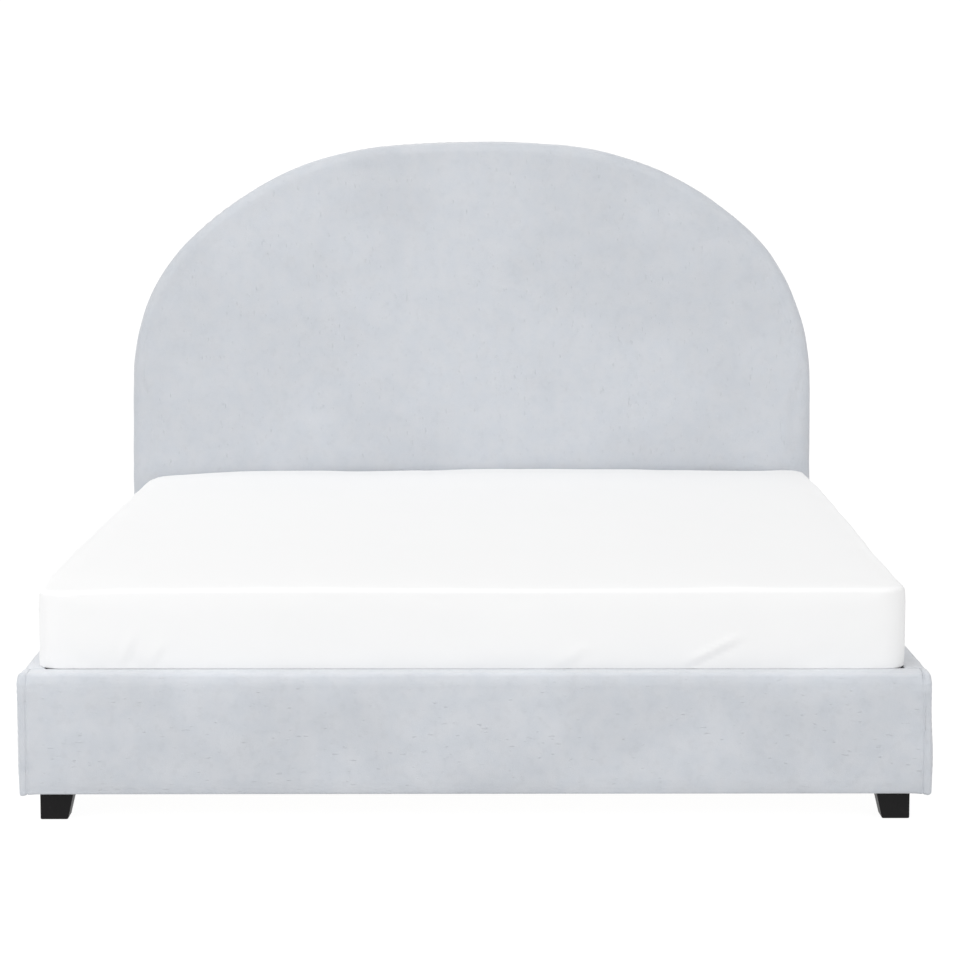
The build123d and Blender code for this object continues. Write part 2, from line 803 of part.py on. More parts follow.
with BuildPart() as fitted_sheet:
    add(mattress_body(0))
    add(mattress_body(sheet_thickness), mode=Mode.SUBTRACT)
    with BuildSketch(mattress_plane):
        hem_reach = 2 * (mattress_tuck + sheet_hem)
        RectangleRounded(
            mattress_width - hem_reach, mattress_length - hem_reach, mattress_corner_radius
        )
    extrude(amount=2 * sheet_thickness, mode=Mode.SUBTRACT)
save(fitted_sheet, "fitted_sheet")

comfort_plane = mattress_plane.offset(mattress_side_height - comfort_layer_height)
for keep, piece_name in ((Keep.BOTTOM, "mattress_core"), (Keep.TOP, "mattress_comfort_layer")):
    with BuildPart() as mattress_layer:
        add(mattress_body(sheet_thickness + sheet_clearance))
        split(bisect_by=comfort_plane, keep=keep)
    save(mattress_layer, piece_name)
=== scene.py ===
"""Looks of the upholstered double bed with an arched headboard.

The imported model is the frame. Every piece here takes its place from that model's nodes, rides on
one of its bodies and stays in its space. Lengths are in metres and the axes are the model's: +X
to the right seen from the foot end, +Y towards the headboard, +Z up.
"""

from __future__ import annotations

import logging
import math
import random
from abc import ABC, abstractmethod
from collections.abc import Callable, Iterable, Sequence
from dataclasses import dataclass, field, replace
from enum import Enum

import bmesh
import bpy
import numpy as np
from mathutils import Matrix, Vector

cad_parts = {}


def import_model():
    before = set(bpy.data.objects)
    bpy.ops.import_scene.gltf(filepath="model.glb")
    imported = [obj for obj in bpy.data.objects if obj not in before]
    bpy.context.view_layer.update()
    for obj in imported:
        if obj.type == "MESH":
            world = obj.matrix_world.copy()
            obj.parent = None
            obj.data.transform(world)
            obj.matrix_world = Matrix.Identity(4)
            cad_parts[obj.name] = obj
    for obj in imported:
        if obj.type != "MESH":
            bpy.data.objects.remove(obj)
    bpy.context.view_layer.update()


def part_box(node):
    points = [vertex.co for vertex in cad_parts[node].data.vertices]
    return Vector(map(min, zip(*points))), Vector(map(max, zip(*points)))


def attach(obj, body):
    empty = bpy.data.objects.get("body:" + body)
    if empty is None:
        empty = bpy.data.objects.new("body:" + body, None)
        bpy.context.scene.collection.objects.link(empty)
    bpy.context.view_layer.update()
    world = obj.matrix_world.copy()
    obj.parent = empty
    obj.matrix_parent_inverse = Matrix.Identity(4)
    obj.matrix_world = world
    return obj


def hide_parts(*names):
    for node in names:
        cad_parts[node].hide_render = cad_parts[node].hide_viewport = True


LOG = logging.getLogger("double_bed")

Colour = tuple[float, float, float, float]
Span = tuple[float, float]
Socket = bpy.types.NodeSocket

# Where a marking comes in over a noise's or a wave's value, from none of it to all.
FULL_SPAN: Span = (0.0, 1.0)
WIDE_SPAN: Span = (0.25, 0.75)
MIDDLE_SPAN: Span = (0.3, 0.7)
NARROW_SPAN: Span = (0.35, 0.65)

# Rows of points over a seam: their place across it, and their share of its groove's depth.
SEAM_SHARES = ((-1.0, 0.0), (-0.45, 0.25), (0.0, 1.0), (0.45, 0.25), (1.0, 0.0))

# Points nearer than this are one point, and faces that meet at less than this are one face.
WELD = 1e-6
FLAT_ANGLE = math.radians(1.0)


class Axis(Enum):
    """An axis of the model."""

    X = 0
    Y = 1
    Z = 2


class Side(Enum):
    """A side of the bed seen from the foot end."""

    LEFT = -1
    RIGHT = 1


class End(Enum):
    """An end of the bed."""

    FOOT = -1
    HEAD = 1


def seen_colour(red: int, green: int, blue: int) -> Colour:
    """A linear colour from the 0 to 255 values that a screen shows.

    Args:
        red: Red as shown.
        green: Green as shown.
        blue: Blue as shown.

    Returns:
        The colour for a shader's socket, with alpha 1.
    """
    linear = [((shown / 255 + 0.055) / 1.055) ** 2.4 for shown in (red, green, blue)]
    return (linear[0], linear[1], linear[2], 1.0)


class Graph:
    """Nodes and links of one tree, whether of a material or of a geometry."""

    def __init__(self, tree: bpy.types.NodeTree) -> None:
        """Takes the tree that the nodes go into."""
        self.tree = tree

    def node(self, kind: str, inputs: dict | None = None, **settings: object) -> bpy.types.Node:
        """Adds a node.

        Args:
            kind: Blender's name of the node's type.
            inputs: Values or sockets for its inputs, by name or index.
            settings: Properties of the node itself.

        Returns:
            The new node.
        """
        made = self.tree.nodes.new(kind)
        for name, value in settings.items():
            setattr(made, name, value)
        for key, value in (inputs or {}).items():
            self.feed(made.inputs[key], value)
        return made

    def feed(self, socket: Socket, value: object) -> None:
        """Links a socket into an input, or sets the input's own value.

        Args:
            socket: The input.
            value: A socket to link, or the input's value.
        """
        if isinstance(value, bpy.types.NodeSocket):
            self.tree.links.new(value, socket)
        else:
            socket.default_value = value

    def math(self, operation: str, *values: object) -> Socket:
        """A math node's result on up to three numbers or sockets."""
        made = self.node("ShaderNodeMath", dict(enumerate(values)), operation=operation)
        return made.outputs[0]

    def split(self, vector: Socket) -> tuple[Socket, Socket, Socket]:
        """The three parts of a vector."""
        made = self.node("ShaderNodeSeparateXYZ", {0: vector})
        return made.outputs[0], made.outputs[1], made.outputs[2]

    def join(self, *parts: object) -> Socket:
        """A vector of three numbers or sockets."""
        return self.node("ShaderNodeCombineXYZ", dict(enumerate(parts))).outputs[0]

    def ramp(self, value: object, span: Span, ends: tuple[object, object] = (0.0, 1.0)) -> Socket:
        """Turns a span of a value into another, with a soft step.

        Args:
            value: The number or socket.
            span: Where the change begins and ends.
            ends: What comes out before the span and after it.

        Returns:
            What comes out.
        """
        inputs = dict(enumerate((value, *span, *ends)))
        return self.node("ShaderNodeMapRange", inputs, interpolation_type="SMOOTHSTEP").outputs[0]


class Shader(Graph):
    """A material's tree round one Principled shader."""

    def __init__(self, name: str) -> None:
        """Starts an empty material of that name.

        Args:
            name: The material's name.
        """
        self.material = bpy.data.materials.new(name)
        self.material.use_nodes = True
        super().__init__(self.material.node_tree)
        self.tree.nodes.clear()
        self.place = self.node("ShaderNodeTexCoord").outputs["Object"]

    def noise(self, scale: float | Sequence[float], detail: float = 2.0) -> Socket:
        """Noise between 0 and 1.

        Args:
            scale: Cycles in a metre, either the same every way or along each axis.
            detail: Octaves.

        Returns:
            The noise's value.
        """
        inputs = {"Vector": self.place, "Scale": scale, "Detail": detail}
        if not isinstance(scale, float):
            mapping = self.node("ShaderNodeMapping", {"Vector": self.place, "Scale": scale})
            inputs.update({"Vector": mapping.outputs[0], "Scale": 1.0})
        return self.node("ShaderNodeTexNoise", inputs).outputs[0]

    def mix(self, share: Socket, first: object, second: object) -> Socket:
        """A colour between two colours, which a colour mix takes at its inputs 6 and 7."""
        inputs = {0: share, 6: first, 7: second}
        return self.node("ShaderNodeMix", inputs, data_type="RGBA").outputs[2]

    def toned(self, colour: object, value: Socket, span: Span, tones: Span) -> Socket:
        """A colour whose brightness follows a value.

        Args:
            colour: The colour or its socket.
            value: What the brightness follows.
            span: Where the change begins and ends.
            tones: The brightness factors before the span and after it.

        Returns:
            The toned colour.
        """
        factor = self.ramp(value, span, tones)
        inputs = {0: 1.0, 6: colour, 7: self.join(factor, factor, factor)}
        return self.node("ShaderNodeMix", inputs, data_type="RGBA", blend_type="MULTIPLY").outputs[2]

    def threads(self, period: float) -> Socket:
        """A weave's height: ribs along all three axes, so that it runs over every face.

        Args:
            period: The distance between two ribs.

        Returns:
            The height, from -3 to 3.
        """
        heights = [
            self.math("SINE", self.math("MULTIPLY", part, math.tau / period))
            for part in self.split(self.place)
        ]
        return self.math("ADD", self.math("ADD", heights[0], heights[1]), heights[2])

    def bump(self, height: Socket, distance: float, below: Socket | None = None) -> Socket:
        """A bumped normal.

        Args:
            height: The surface's height, in units of the distance.
            distance: The height's unit in metres.
            below: The normal of a coarser bump that this one lies on.

        Returns:
            The normal.
        """
        inputs = {"Height": height, "Distance": distance}
        if below is not None:
            inputs["Normal"] = below
        return self.node("ShaderNodeBump", inputs).outputs[0]

    def done(self, base: object, normal: Socket, **constants: object) -> bpy.types.Material:
        """Closes the tree.

        Args:
            base: The base colour's socket.
            normal: The bumped normal.
            constants: Principled inputs by name, with underscores for spaces.

        Returns:
            The material.
        """
        inputs = {"Base Color": base, "Normal": normal}
        for name, value in constants.items():
            inputs[name.replace("_", " ")] = value
        shader = self.node("ShaderNodeBsdfPrincipled", inputs)
        self.node("ShaderNodeOutputMaterial", {0: shader.outputs[0]})
        return self.material


@dataclass(frozen=True)
class Finish(ABC):
    """What one kind of surface looks like."""

    name: str

    def material(self) -> bpy.types.Material:
        """The finish's material, made once."""
        return bpy.data.materials.get(self.name) or self.make()

    @abstractmethod
    def make(self) -> bpy.types.Material:
        """Builds the material."""


@dataclass(frozen=True)
class NapFabric(Finish):
    """Pale upholstery with a short nap: mottled, with slubs that run one way, and a painted highlight on
    faces that point up.
    """

    slubs: Axis = Axis.X
    mottling: float = 1.0
    marks: float = 1.0
    bluish: Colour = seen_colour(203, 207, 213)
    greyish: Colour = seen_colour(203, 206, 211)
    swing: float = 0.014
    cloud_gain: float = 1.3
    cloud_scale: float = 4.5
    cloud_span: Span = (0.34, 0.66)
    patch_scale: float = 24.0
    patch_span: Span = (0.36, 0.64)
    blot_scale: float = 62.4
    blot_span: Span = (0.50, 0.74)
    # Painted highlight: faces that point up are lightened by up to this gain. It is painted top light that
    # stands in for the light and grazing sheen falling on them.
    painted_highlight_span: Span = (0.78, 1.0)
    painted_highlight_gain: float = 1.12
    slub_along: float = 60.0
    slub_across: float = 270.0
    slub_span: Span = (0.69, 0.80)
    slub_shade: float = 0.05
    slub_height: float = 0.0006
    speck_scale: float = 190.0
    speck_span: Span = (0.72, 0.80)
    speck_gain: float = 1.05
    nap_scale: float = 700.0
    nap_tones: Span = (0.985, 1.012)
    nap_height: float = 0.00025
    thread_period: float = 0.0016
    thread_height: float = 0.00003

    def make(self) -> bpy.types.Material:
        """Builds the material.

        Returns:
            The material.
        """
        shader = Shader(self.name)
        swing = self.swing * self.mottling
        wide = swing * self.cloud_gain
        patches = shader.noise(self.patch_scale, detail=3.0)
        colour = shader.mix(shader.ramp(patches, self.patch_span), self.greyish, self.bluish)
        clouds = shader.noise(self.cloud_scale)
        colour = shader.toned(colour, clouds, self.cloud_span, (1 - wide, 1 + wide))
        colour = shader.toned(colour, patches, MIDDLE_SPAN, (1 + swing, 1 - swing))
        colour = shader.toned(colour, shader.noise(self.blot_scale), self.blot_span, (1.0, 1 - wide))
        # Painted highlight: the colour is made lighter where the surface points up, as light from above and
        # grazing sheen would make it.
        facing_up_for_highlight = shader.split(shader.node("ShaderNodeNewGeometry").outputs["Normal"])[2]
        colour = shader.toned(colour, facing_up_for_highlight, self.painted_highlight_span, (1.0, self.painted_highlight_gain))
        stretch = [self.slub_across] * 3
        stretch[self.slubs.value] = self.slub_along
        thick = shader.ramp(shader.noise(stretch, detail=1.0), self.slub_span)
        colour = shader.toned(colour, thick, FULL_SPAN, (1.0, 1 - self.slub_shade * self.marks))
        specks = shader.ramp(shader.noise(self.speck_scale, detail=1.0), self.speck_span)
        colour = shader.toned(colour, specks, FULL_SPAN, (1.0, self.speck_gain))
        nap = shader.noise(self.nap_scale)
        colour = shader.toned(colour, nap, MIDDLE_SPAN, self.nap_tones)
        normal = shader.bump(thick, self.slub_height)
        normal = shader.bump(nap, self.nap_height, normal)
        normal = shader.bump(shader.threads(self.thread_period), self.thread_height, normal)
        return shader.done(
            colour,
            normal,
            Roughness=0.85,
            Specular_IOR_Level=0.18,
            Sheen_Weight=1.0,
            Sheen_Roughness=0.32,
        )


@dataclass(frozen=True)
class Cotton(Finish):
    """Plain white sheeting."""

    white: Colour = seen_colour(246, 245, 245)
    soft_scale: float = 9.0
    soft_tones: Span = (0.992, 1.004)
    crumple_scale: float = 38.0
    crumple_height: float = 0.0012
    thread_period: float = 0.0011
    thread_height: float = 0.00003
    light_depth: float = 0.035

    def make(self) -> bpy.types.Material:
        """Builds the material.

        Returns:
            The material.
        """
        shader = Shader(self.name)
        soft = shader.noise(self.soft_scale, detail=3.0)
        colour = shader.toned(self.white, soft, MIDDLE_SPAN, self.soft_tones)
        normal = shader.bump(shader.noise(self.crumple_scale, detail=3.0), self.crumple_height)
        normal = shader.bump(shader.threads(self.thread_period), self.thread_height, normal)
        return shader.done(
            colour,
            normal,
            Roughness=0.88,
            Specular_IOR_Level=0.2,
            Sheen_Weight=0.4,
            Sheen_Roughness=0.4,
            Subsurface_Weight=0.8,
            Subsurface_Radius=(1.0, 1.0, 1.0),
            Subsurface_Scale=self.light_depth,
        )


@dataclass(frozen=True)
class Ticking(Finish):
    """The mattress's own knitted cover."""

    pale: Colour = seen_colour(236, 235, 230)
    shade: Colour = seen_colour(222, 221, 216)
    knit_scale: Sequence[float] = (420.0, 900.0, 420.0)
    knit_height: float = 0.0005
    soft_scale: float = 6.0
    soft_tones: Span = (0.97, 1.0)

    def make(self) -> bpy.types.Material:
        """Builds the material.

        Returns:
            The material.
        """
        shader = Shader(self.name)
        knit = shader.noise(self.knit_scale, detail=1.0)
        colour = shader.mix(shader.ramp(knit, NARROW_SPAN), self.pale, self.shade)
        colour = shader.toned(colour, shader.noise(self.soft_scale), MIDDLE_SPAN, self.soft_tones)
        normal = shader.bump(knit, self.knit_height)
        return shader.done(colour, normal, Roughness=0.9, Specular_IOR_Level=0.2, Sheen_Weight=0.15)


@dataclass(frozen=True)
class DustCloth(Finish):
    """Black non-woven cloth with its pattern of bonding points."""

    fibre: Colour = seen_colour(44, 44, 46)
    point: Colour = seen_colour(30, 30, 32)
    point_pitch: float = 0.0035
    point_span: Span = (0.22, 0.34)
    point_depth: float = 0.0002
    fibre_scale: float = 240.0
    fibre_tones: Span = (0.8, 1.15)
    fibre_height: float = 0.0004

    def make(self) -> bpy.types.Material:
        """Builds the material.

        Returns:
            The material.
        """
        shader = Shader(self.name)
        inputs = {"Vector": shader.place, "Scale": 1 / self.point_pitch, "Randomness": 0.25}
        cells = shader.node("ShaderNodeTexVoronoi", inputs).outputs["Distance"]
        points = shader.ramp(cells, self.point_span)
        fibres = shader.noise(self.fibre_scale, detail=4.0)
        colour = shader.mix(points, self.point, self.fibre)
        colour = shader.toned(colour, fibres, MIDDLE_SPAN, self.fibre_tones)
        normal = shader.bump(fibres, self.fibre_height)
        normal = shader.bump(points, self.point_depth, normal)
        return shader.done(colour, normal, Roughness=0.85, Specular_IOR_Level=0.25)


@dataclass(frozen=True)
class Timber(Finish):
    """Wood whose grain runs along one axis."""

    grain: Axis = Axis.X
    early: Colour = seen_colour(214, 184, 140)
    late: Colour = seen_colour(184, 146, 98)
    ring_scale: float = 22.0
    rings: float = 9.0
    ring_span: Span = (0.15, 0.95)
    fibre_scale: float = 420.0
    fibre_tones: Span = (0.86, 1.06)
    fibre_height: float = 0.00025
    along_share: float = 0.05
    roughness: float = 0.6

    def along(self, scale: float) -> list[float]:
        """A noise's scale that is stretched along the grain.

        Args:
            scale: Cycles in a metre across the grain.

        Returns:
            The cycles along each axis.
        """
        stretch = [scale] * 3
        stretch[self.grain.value] = scale * self.along_share
        return stretch

    def make(self) -> bpy.types.Material:
        """Builds the material.

        Returns:
            The material.
        """
        shader = Shader(self.name)
        growth = shader.noise(self.along(self.ring_scale), detail=3.0)
        bands = shader.math("PINGPONG", shader.math("MULTIPLY", growth, self.rings), 1.0)
        fibres = shader.noise(self.along(self.fibre_scale))
        colour = shader.mix(shader.ramp(bands, self.ring_span), self.early, self.late)
        colour = shader.toned(colour, fibres, WIDE_SPAN, self.fibre_tones)
        normal = shader.bump(fibres, self.fibre_height)
        return shader.done(colour, normal, Roughness=self.roughness, Specular_IOR_Level=0.35)


@dataclass(frozen=True)
class StainedWood(Finish):
    """Black satin stain on the block feet, with the grain just showing and rubbed spots."""

    black: Colour = seen_colour(9, 8, 9)
    rubbed: Colour = seen_colour(20, 18, 18)
    grain_scale: Sequence[float] = (260.0, 260.0, 18.0)
    grain_tones: Span = (0.8, 1.15)
    grain_height: float = 0.0003
    wear_scale: float = 55.0
    wear_span: Span = (0.55, 0.85)

    def make(self) -> bpy.types.Material:
        """Builds the material.

        Returns:
            The material.
        """
        shader = Shader(self.name)
        grain = shader.noise(self.grain_scale, detail=3.0)
        wear = shader.ramp(shader.noise(self.wear_scale, detail=4.0), self.wear_span)
        colour = shader.mix(wear, self.black, self.rubbed)
        colour = shader.toned(colour, grain, WIDE_SPAN, self.grain_tones)
        normal = shader.bump(grain, self.grain_height)
        return shader.done(colour, normal, Roughness=0.45, Specular_IOR_Level=0.19)


@dataclass(frozen=True)
class PlatedSteel(Finish):
    """Zinc-plated steel with its faint blotches."""

    bright: Colour = seen_colour(208, 210, 212)
    dull: Colour = seen_colour(176, 180, 186)
    blotch_scale: float = 90.0
    grain_scale: float = 900.0
    grain_height: float = 0.00005

    def make(self) -> bpy.types.Material:
        """Builds the material.

        Returns:
            The material.
        """
        shader = Shader(self.name)
        blotch = shader.ramp(shader.noise(self.blotch_scale, detail=4.0), NARROW_SPAN)
        colour = shader.mix(blotch, self.bright, self.dull)
        normal = shader.bump(shader.noise(self.grain_scale), self.grain_height)
        return shader.done(colour, normal, Metallic=1.0, Roughness=0.34)


@dataclass(frozen=True)
class Coated(Finish):
    """Moulded plastic or powder coating: one colour, clouded a little, with a fine grain."""

    tone: Colour = seen_colour(36, 36, 38)
    grain_scale: float = 1300.0
    grain_height: float = 0.00006
    roughness: float = 0.5
    cloud_scale: float = 30.0
    cloud_tones: Span = (0.9, 1.12)

    def make(self) -> bpy.types.Material:
        """Builds the material.

        Returns:
            The material.
        """
        shader = Shader(self.name)
        cloud = shader.noise(self.cloud_scale, detail=3.0)
        colour = shader.toned(self.tone, cloud, MIDDLE_SPAN, self.cloud_tones)
        normal = shader.bump(shader.noise(self.grain_scale), self.grain_height)
        return shader.done(colour, normal, Roughness=self.roughness, Specular_IOR_Level=0.45)


@dataclass(frozen=True)
class Finishes:
    """The bed's finishes."""

    headboard: Finish = NapFabric("headboard_fabric", Axis.Z, mottling=1.4, marks=0.5)
    base: Finish = NapFabric("base_fabric", Axis.X, mottling=2.0, marks=1.2)
    rail: Finish = NapFabric("rail_fabric", Axis.Y)
    sheet: Finish = Cotton("sheet_cotton")
    ticking: Finish = Ticking("mattress_ticking")
    lining: Finish = DustCloth("dust_cloth")
    slat: Finish = Timber(
        "slat_birch", Axis.X, seen_colour(226, 199, 158), seen_colour(205, 172, 126), 30.0, roughness=0.45
    )
    across: Finish = Timber("timber_across", Axis.X)
    lengthwise: Finish = Timber("timber_lengthwise", Axis.Y)
    upright: Finish = Timber("timber_upright", Axis.Z)
    plywood: Finish = Timber("plywood", Axis.X, seen_colour(206, 172, 124), seen_colour(176, 138, 92), 14.0)
    feet: Finish = StainedWood("black_stained_wood")
    zinc: Finish = PlatedSteel("zinc_steel")
    caps: Finish = Coated("cap_plastic", seen_colour(34, 34, 36))
    glides: Finish = Coated("glide_plastic", seen_colour(42, 42, 44), 700.0, roughness=0.42)
    powder: Finish = Coated("powder_coat", seen_colour(33, 33, 35), 800.0, 0.00012, 0.4)


@dataclass(frozen=True)
class Ripple:
    """Smooth unevenness: waves that cross in directions drawn from a fixed seed."""

    wavelength: float
    height: float
    seed: int
    waves: int = 9
    stretch: Span = (0.6, 1.7)

    def at(self, points: np.ndarray) -> np.ndarray:
        """The height at each point.

        Args:
            points: The points, one row each.

        Returns:
            The heights.
        """
        draw = random.Random(self.seed)
        total = np.zeros(len(points))
        for _ in range(self.waves):
            heading = Vector([draw.gauss(0, 1) for _ in range(3)]).normalized()
            length = self.wavelength * draw.uniform(*self.stretch)
            phase = draw.uniform(0, math.tau)
            total += np.sin(points @ np.array(heading) * (math.tau / length) + phase)
        return total * self.height * math.sqrt(2 / self.waves)


def soft_step(value: np.ndarray, low: float, high: float) -> np.ndarray:
    """0 below low and 1 above high, with a smooth change between."""
    share = np.clip((value - low) / (high - low), 0, 1)
    return share * share * (3 - 2 * share)


def bell(distance: np.ndarray, width: float) -> np.ndarray:
    """A bell curve of a distance, 1 at no distance."""
    return np.exp(-((distance / width) ** 2))


def rippled(points: np.ndarray, ripples: Iterable[Ripple]) -> np.ndarray:
    """The sum of several ripples at each point."""
    return sum(ripple.at(points) for ripple in ripples)


def points_of(mesh: bpy.types.Mesh) -> np.ndarray:
    """A mesh's points, one row each.

    Args:
        mesh: The mesh.

    Returns:
        The points.
    """
    flat = np.zeros(len(mesh.vertices) * 3, np.float32)
    mesh.vertices.foreach_get("co", flat)
    return flat.reshape(-1, 3).astype(float)


def set_points(mesh: bpy.types.Mesh, points: np.ndarray) -> None:
    """Moves a mesh's points."""
    mesh.vertices.foreach_set("co", points.astype(np.float32).ravel())
    mesh.update()


def normals_of(mesh: bpy.types.Mesh) -> np.ndarray:
    """A mesh's point normals, one row each.

    Args:
        mesh: The mesh.

    Returns:
        The normals.
    """
    flat = np.zeros(len(mesh.vertices) * 3, np.float32)
    mesh.vertex_normals.foreach_get("vector", flat)
    return flat.reshape(-1, 3).astype(float)


def new_piece(name: str, mesh: bpy.types.Mesh, finish: Finish) -> bpy.types.Object:
    """Links a mesh into the scene as a smooth piece with one finish.

    Args:
        name: The piece's name.
        mesh: Its mesh.
        finish: Its finish.

    Returns:
        The piece.
    """
    piece = bpy.data.objects.new(name, mesh)
    bpy.context.scene.collection.objects.link(piece)
    mesh.materials.clear()
    mesh.materials.append(finish.material())
    mesh.shade_smooth()
    return piece


def declared(piece: bpy.types.Object, body: str, slot: str, *nodes: str) -> None:
    """Attaches a piece to the body that it rides on and hides the nodes that it stands for.

    Args:
        piece: The piece.
        body: The body that it rides on.
        slot: Not used.
        nodes: The nodes that it replaces, if there are any.
    """
    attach(piece, body)
    if nodes:
        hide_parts(*nodes)


def closed_mesh(name: str, points: Sequence, faces: Sequence, weld: float = 1e-5) -> bpy.types.Mesh:
    """A mesh whose doubled points are welded and whose faces point outwards.

    Args:
        name: The mesh's name.
        points: Its points.
        faces: Its faces, as point numbers.
        weld: Points nearer than this become one.

    Returns:
        The mesh.
    """
    mesh = bpy.data.meshes.new(name)
    mesh.from_pydata([tuple(point) for point in points], [], [tuple(face) for face in faces])
    work = bmesh.new()
    work.from_mesh(mesh)
    bmesh.ops.remove_doubles(work, verts=work.verts, dist=weld)
    bmesh.ops.dissolve_degenerate(work, edges=work.edges, dist=weld)
    bmesh.ops.recalc_face_normals(work, faces=work.faces)
    work.to_mesh(mesh)
    work.free()
    return mesh


def evaluated(piece: bpy.types.Object) -> bpy.types.Mesh:
    """A plain mesh of a piece with its modifiers."""
    depsgraph = bpy.context.evaluated_depsgraph_get()
    return bpy.data.meshes.new_from_object(piece.evaluated_get(depsgraph))


def subdivided(piece: bpy.types.Object, levels: int = 1) -> None:
    """Replaces a piece's mesh by its subdivision surface.

    Args:
        piece: The piece.
        levels: How many times it is subdivided.
    """
    piece.modifiers.new("surface", "SUBSURF").levels = levels
    smooth = evaluated(piece)
    piece.modifiers.clear()
    piece.data = smooth
    smooth.shade_smooth()


@dataclass(frozen=True)
class ClothRun:
    """A cloth simulation that settles a cover over its filling."""

    pressure: float
    slack: float = 0.0
    cap: float = 0.005
    inward: float = 0.0006
    least_move: float = 1e-9
    frames: int = 18
    stiffness: float = 18.0
    bending: float = 1.2
    quality: int = 4
    mass: float = 0.4
    air_damping: float = 4.0

    def settle(self, piece: bpy.types.Object, held: np.ndarray) -> None:
        """Runs the simulation and moves the mesh's points by what it gives, up to the cap.

        Args:
            piece: The cover, with no modifiers.
            held: How firmly each point is held in place, from 0 to 1.
        """
        start = points_of(piece.data)
        outwards = normals_of(piece.data)
        group = piece.vertex_groups.new(name="held")
        for number, weight in enumerate(held):
            group.add([number], float(weight), "REPLACE")
        cloth = piece.modifiers.new("settle", "CLOTH")
        settings = cloth.settings
        settings.quality = self.quality
        settings.mass = self.mass
        settings.tension_stiffness = self.stiffness
        settings.compression_stiffness = self.stiffness
        settings.shear_stiffness = self.stiffness / 3
        settings.bending_stiffness = self.bending
        settings.air_damping = self.air_damping
        settings.use_pressure = True
        settings.uniform_pressure_force = self.pressure
        settings.shrink_min = -self.slack
        settings.vertex_group_mass = "held"
        settings.effector_weights.gravity = 0.0
        cloth.collision_settings.use_collision = False
        cloth.point_cache.frame_start = 1
        cloth.point_cache.frame_end = self.frames
        scene = bpy.context.scene
        for frame in range(1, self.frames + 1):
            scene.frame_set(frame)
        settled = evaluated(piece)
        move = points_of(settled) - start
        bpy.data.meshes.remove(settled)
        piece.modifiers.clear()
        piece.vertex_groups.clear()
        scene.frame_set(1)
        rise = np.einsum("ij,ij->i", move, outwards)
        move += outwards * (np.maximum(rise, -self.inward) - rise)[:, None]
        length = np.linalg.norm(move, axis=1)
        keep = np.minimum(1.0, self.cap / np.maximum(length, self.least_move))
        set_points(piece.data, start + move * keep[:, None])


@dataclass(frozen=True)
class Panel:
    """Point numbers of a field of rows and columns with loops of points round it."""

    rows: int
    columns: int

    @property
    def around(self) -> int:
        """How many points a loop has."""
        return 2 * (self.rows + self.columns) - 4

    def rim(self) -> list[int]:
        """The field's outer points, anticlockwise from its first corner.

        Returns:
            The points' numbers.
        """
        rows, columns = self.rows, self.columns
        numbers = list(range(columns))
        numbers += [row * columns + columns - 1 for row in range(1, rows)]
        numbers += [(rows - 1) * columns + column for column in range(columns - 2, -1, -1)]
        numbers += [row * columns for row in range(rows - 2, 0, -1)]
        return numbers

    def field_faces(self, start: int, turned: bool = False) -> list[tuple[int, ...]]:
        """Faces of a field whose first point has that number.

        Args:
            start: The number of the field's first point.
            turned: Whether the faces look back.

        Returns:
            The faces.
        """
        faces = []
        for row in range(self.rows - 1):
            for column in range(self.columns - 1):
                corner = start + row * self.columns + column
                face = (corner, corner + 1, corner + self.columns + 1, corner + self.columns)
                faces.append(face[::-1] if turned else face)
        return faces

    def assemble(
        self, front: np.ndarray, loops: Sequence[np.ndarray], back: np.ndarray | None = None
    ) -> tuple[np.ndarray, list[tuple[int, ...]]]:
        """Joins the field, the loops round it and a second field that closes the back.

        Args:
            front: The front field's points, by row.
            loops: Loops from the field's rim outwards and round to the back.
            back: The back field's points, in the front field's order.

        Returns:
            All points, and the faces.
        """
        points = [front, *loops]
        faces = self.field_faces(0)
        inner = self.rim()
        start = len(front)
        for loop in loops:
            outer = list(range(start, start + len(loop)))
            faces += self.band_faces(inner, outer)
            inner = outer
            start += len(loop)
        if back is not None:
            points.append(back)
            faces += self.field_faces(start, turned=True)
            faces += self.band_faces(inner, [start + number for number in self.rim()])
        return np.concatenate(points), faces

    @staticmethod
    def band_faces(inner: Sequence[int], outer: Sequence[int]) -> list[tuple[int, ...]]:
        """Faces between two loops.

        Args:
            inner: Point numbers of the inner loop.
            outer: Point numbers of the outer loop.

        Returns:
            The faces.
        """
        count = len(inner)
        following = [(number + 1) % count for number in range(count)]
        return [
            (inner[here], outer[here], outer[after], inner[after])
            for here, after in enumerate(following)
        ]


def blended_field(bottom: np.ndarray, right: np.ndarray, top: np.ndarray, left: np.ndarray) -> np.ndarray:
    """A field spanned between four edges that meet at their ends.

    Args:
        bottom: Points from left to right.
        right: Points from bottom to top.
        top: Points from left to right.
        left: Points from bottom to top.

    Returns:
        The field's points, by row.
    """
    across = np.linspace(0, 1, len(bottom))[None, :, None]
    upwards = np.linspace(0, 1, len(left))[:, None, None]
    between_rows = (1 - upwards) * bottom[None] + upwards * top[None]
    between_columns = (1 - across) * left[:, None] + across * right[:, None]
    corners = (1 - upwards) * ((1 - across) * bottom[0] + across * bottom[-1])
    corners = corners + upwards * ((1 - across) * top[0] + across * top[-1])
    return (between_rows + between_columns - corners).reshape(-1, bottom.shape[-1])


def rim_loop(edges: Sequence[np.ndarray]) -> np.ndarray:
    """The bottom, right, top and left edges as one loop, in the order of a panel's rim."""
    bottom, right, top, left = edges
    return np.concatenate([bottom, right[1:], top[::-1][1:], left[::-1][1:-1]])


class SubAssembly(ABC):
    """A part of the bed that is built and dressed together."""

    @abstractmethod
    def build(self, finishes: Finishes) -> Iterable[bpy.types.Object]:
        """Makes the pieces.

        Args:
            finishes: The bed's finishes.

        Returns:
            The finished pieces.
        """


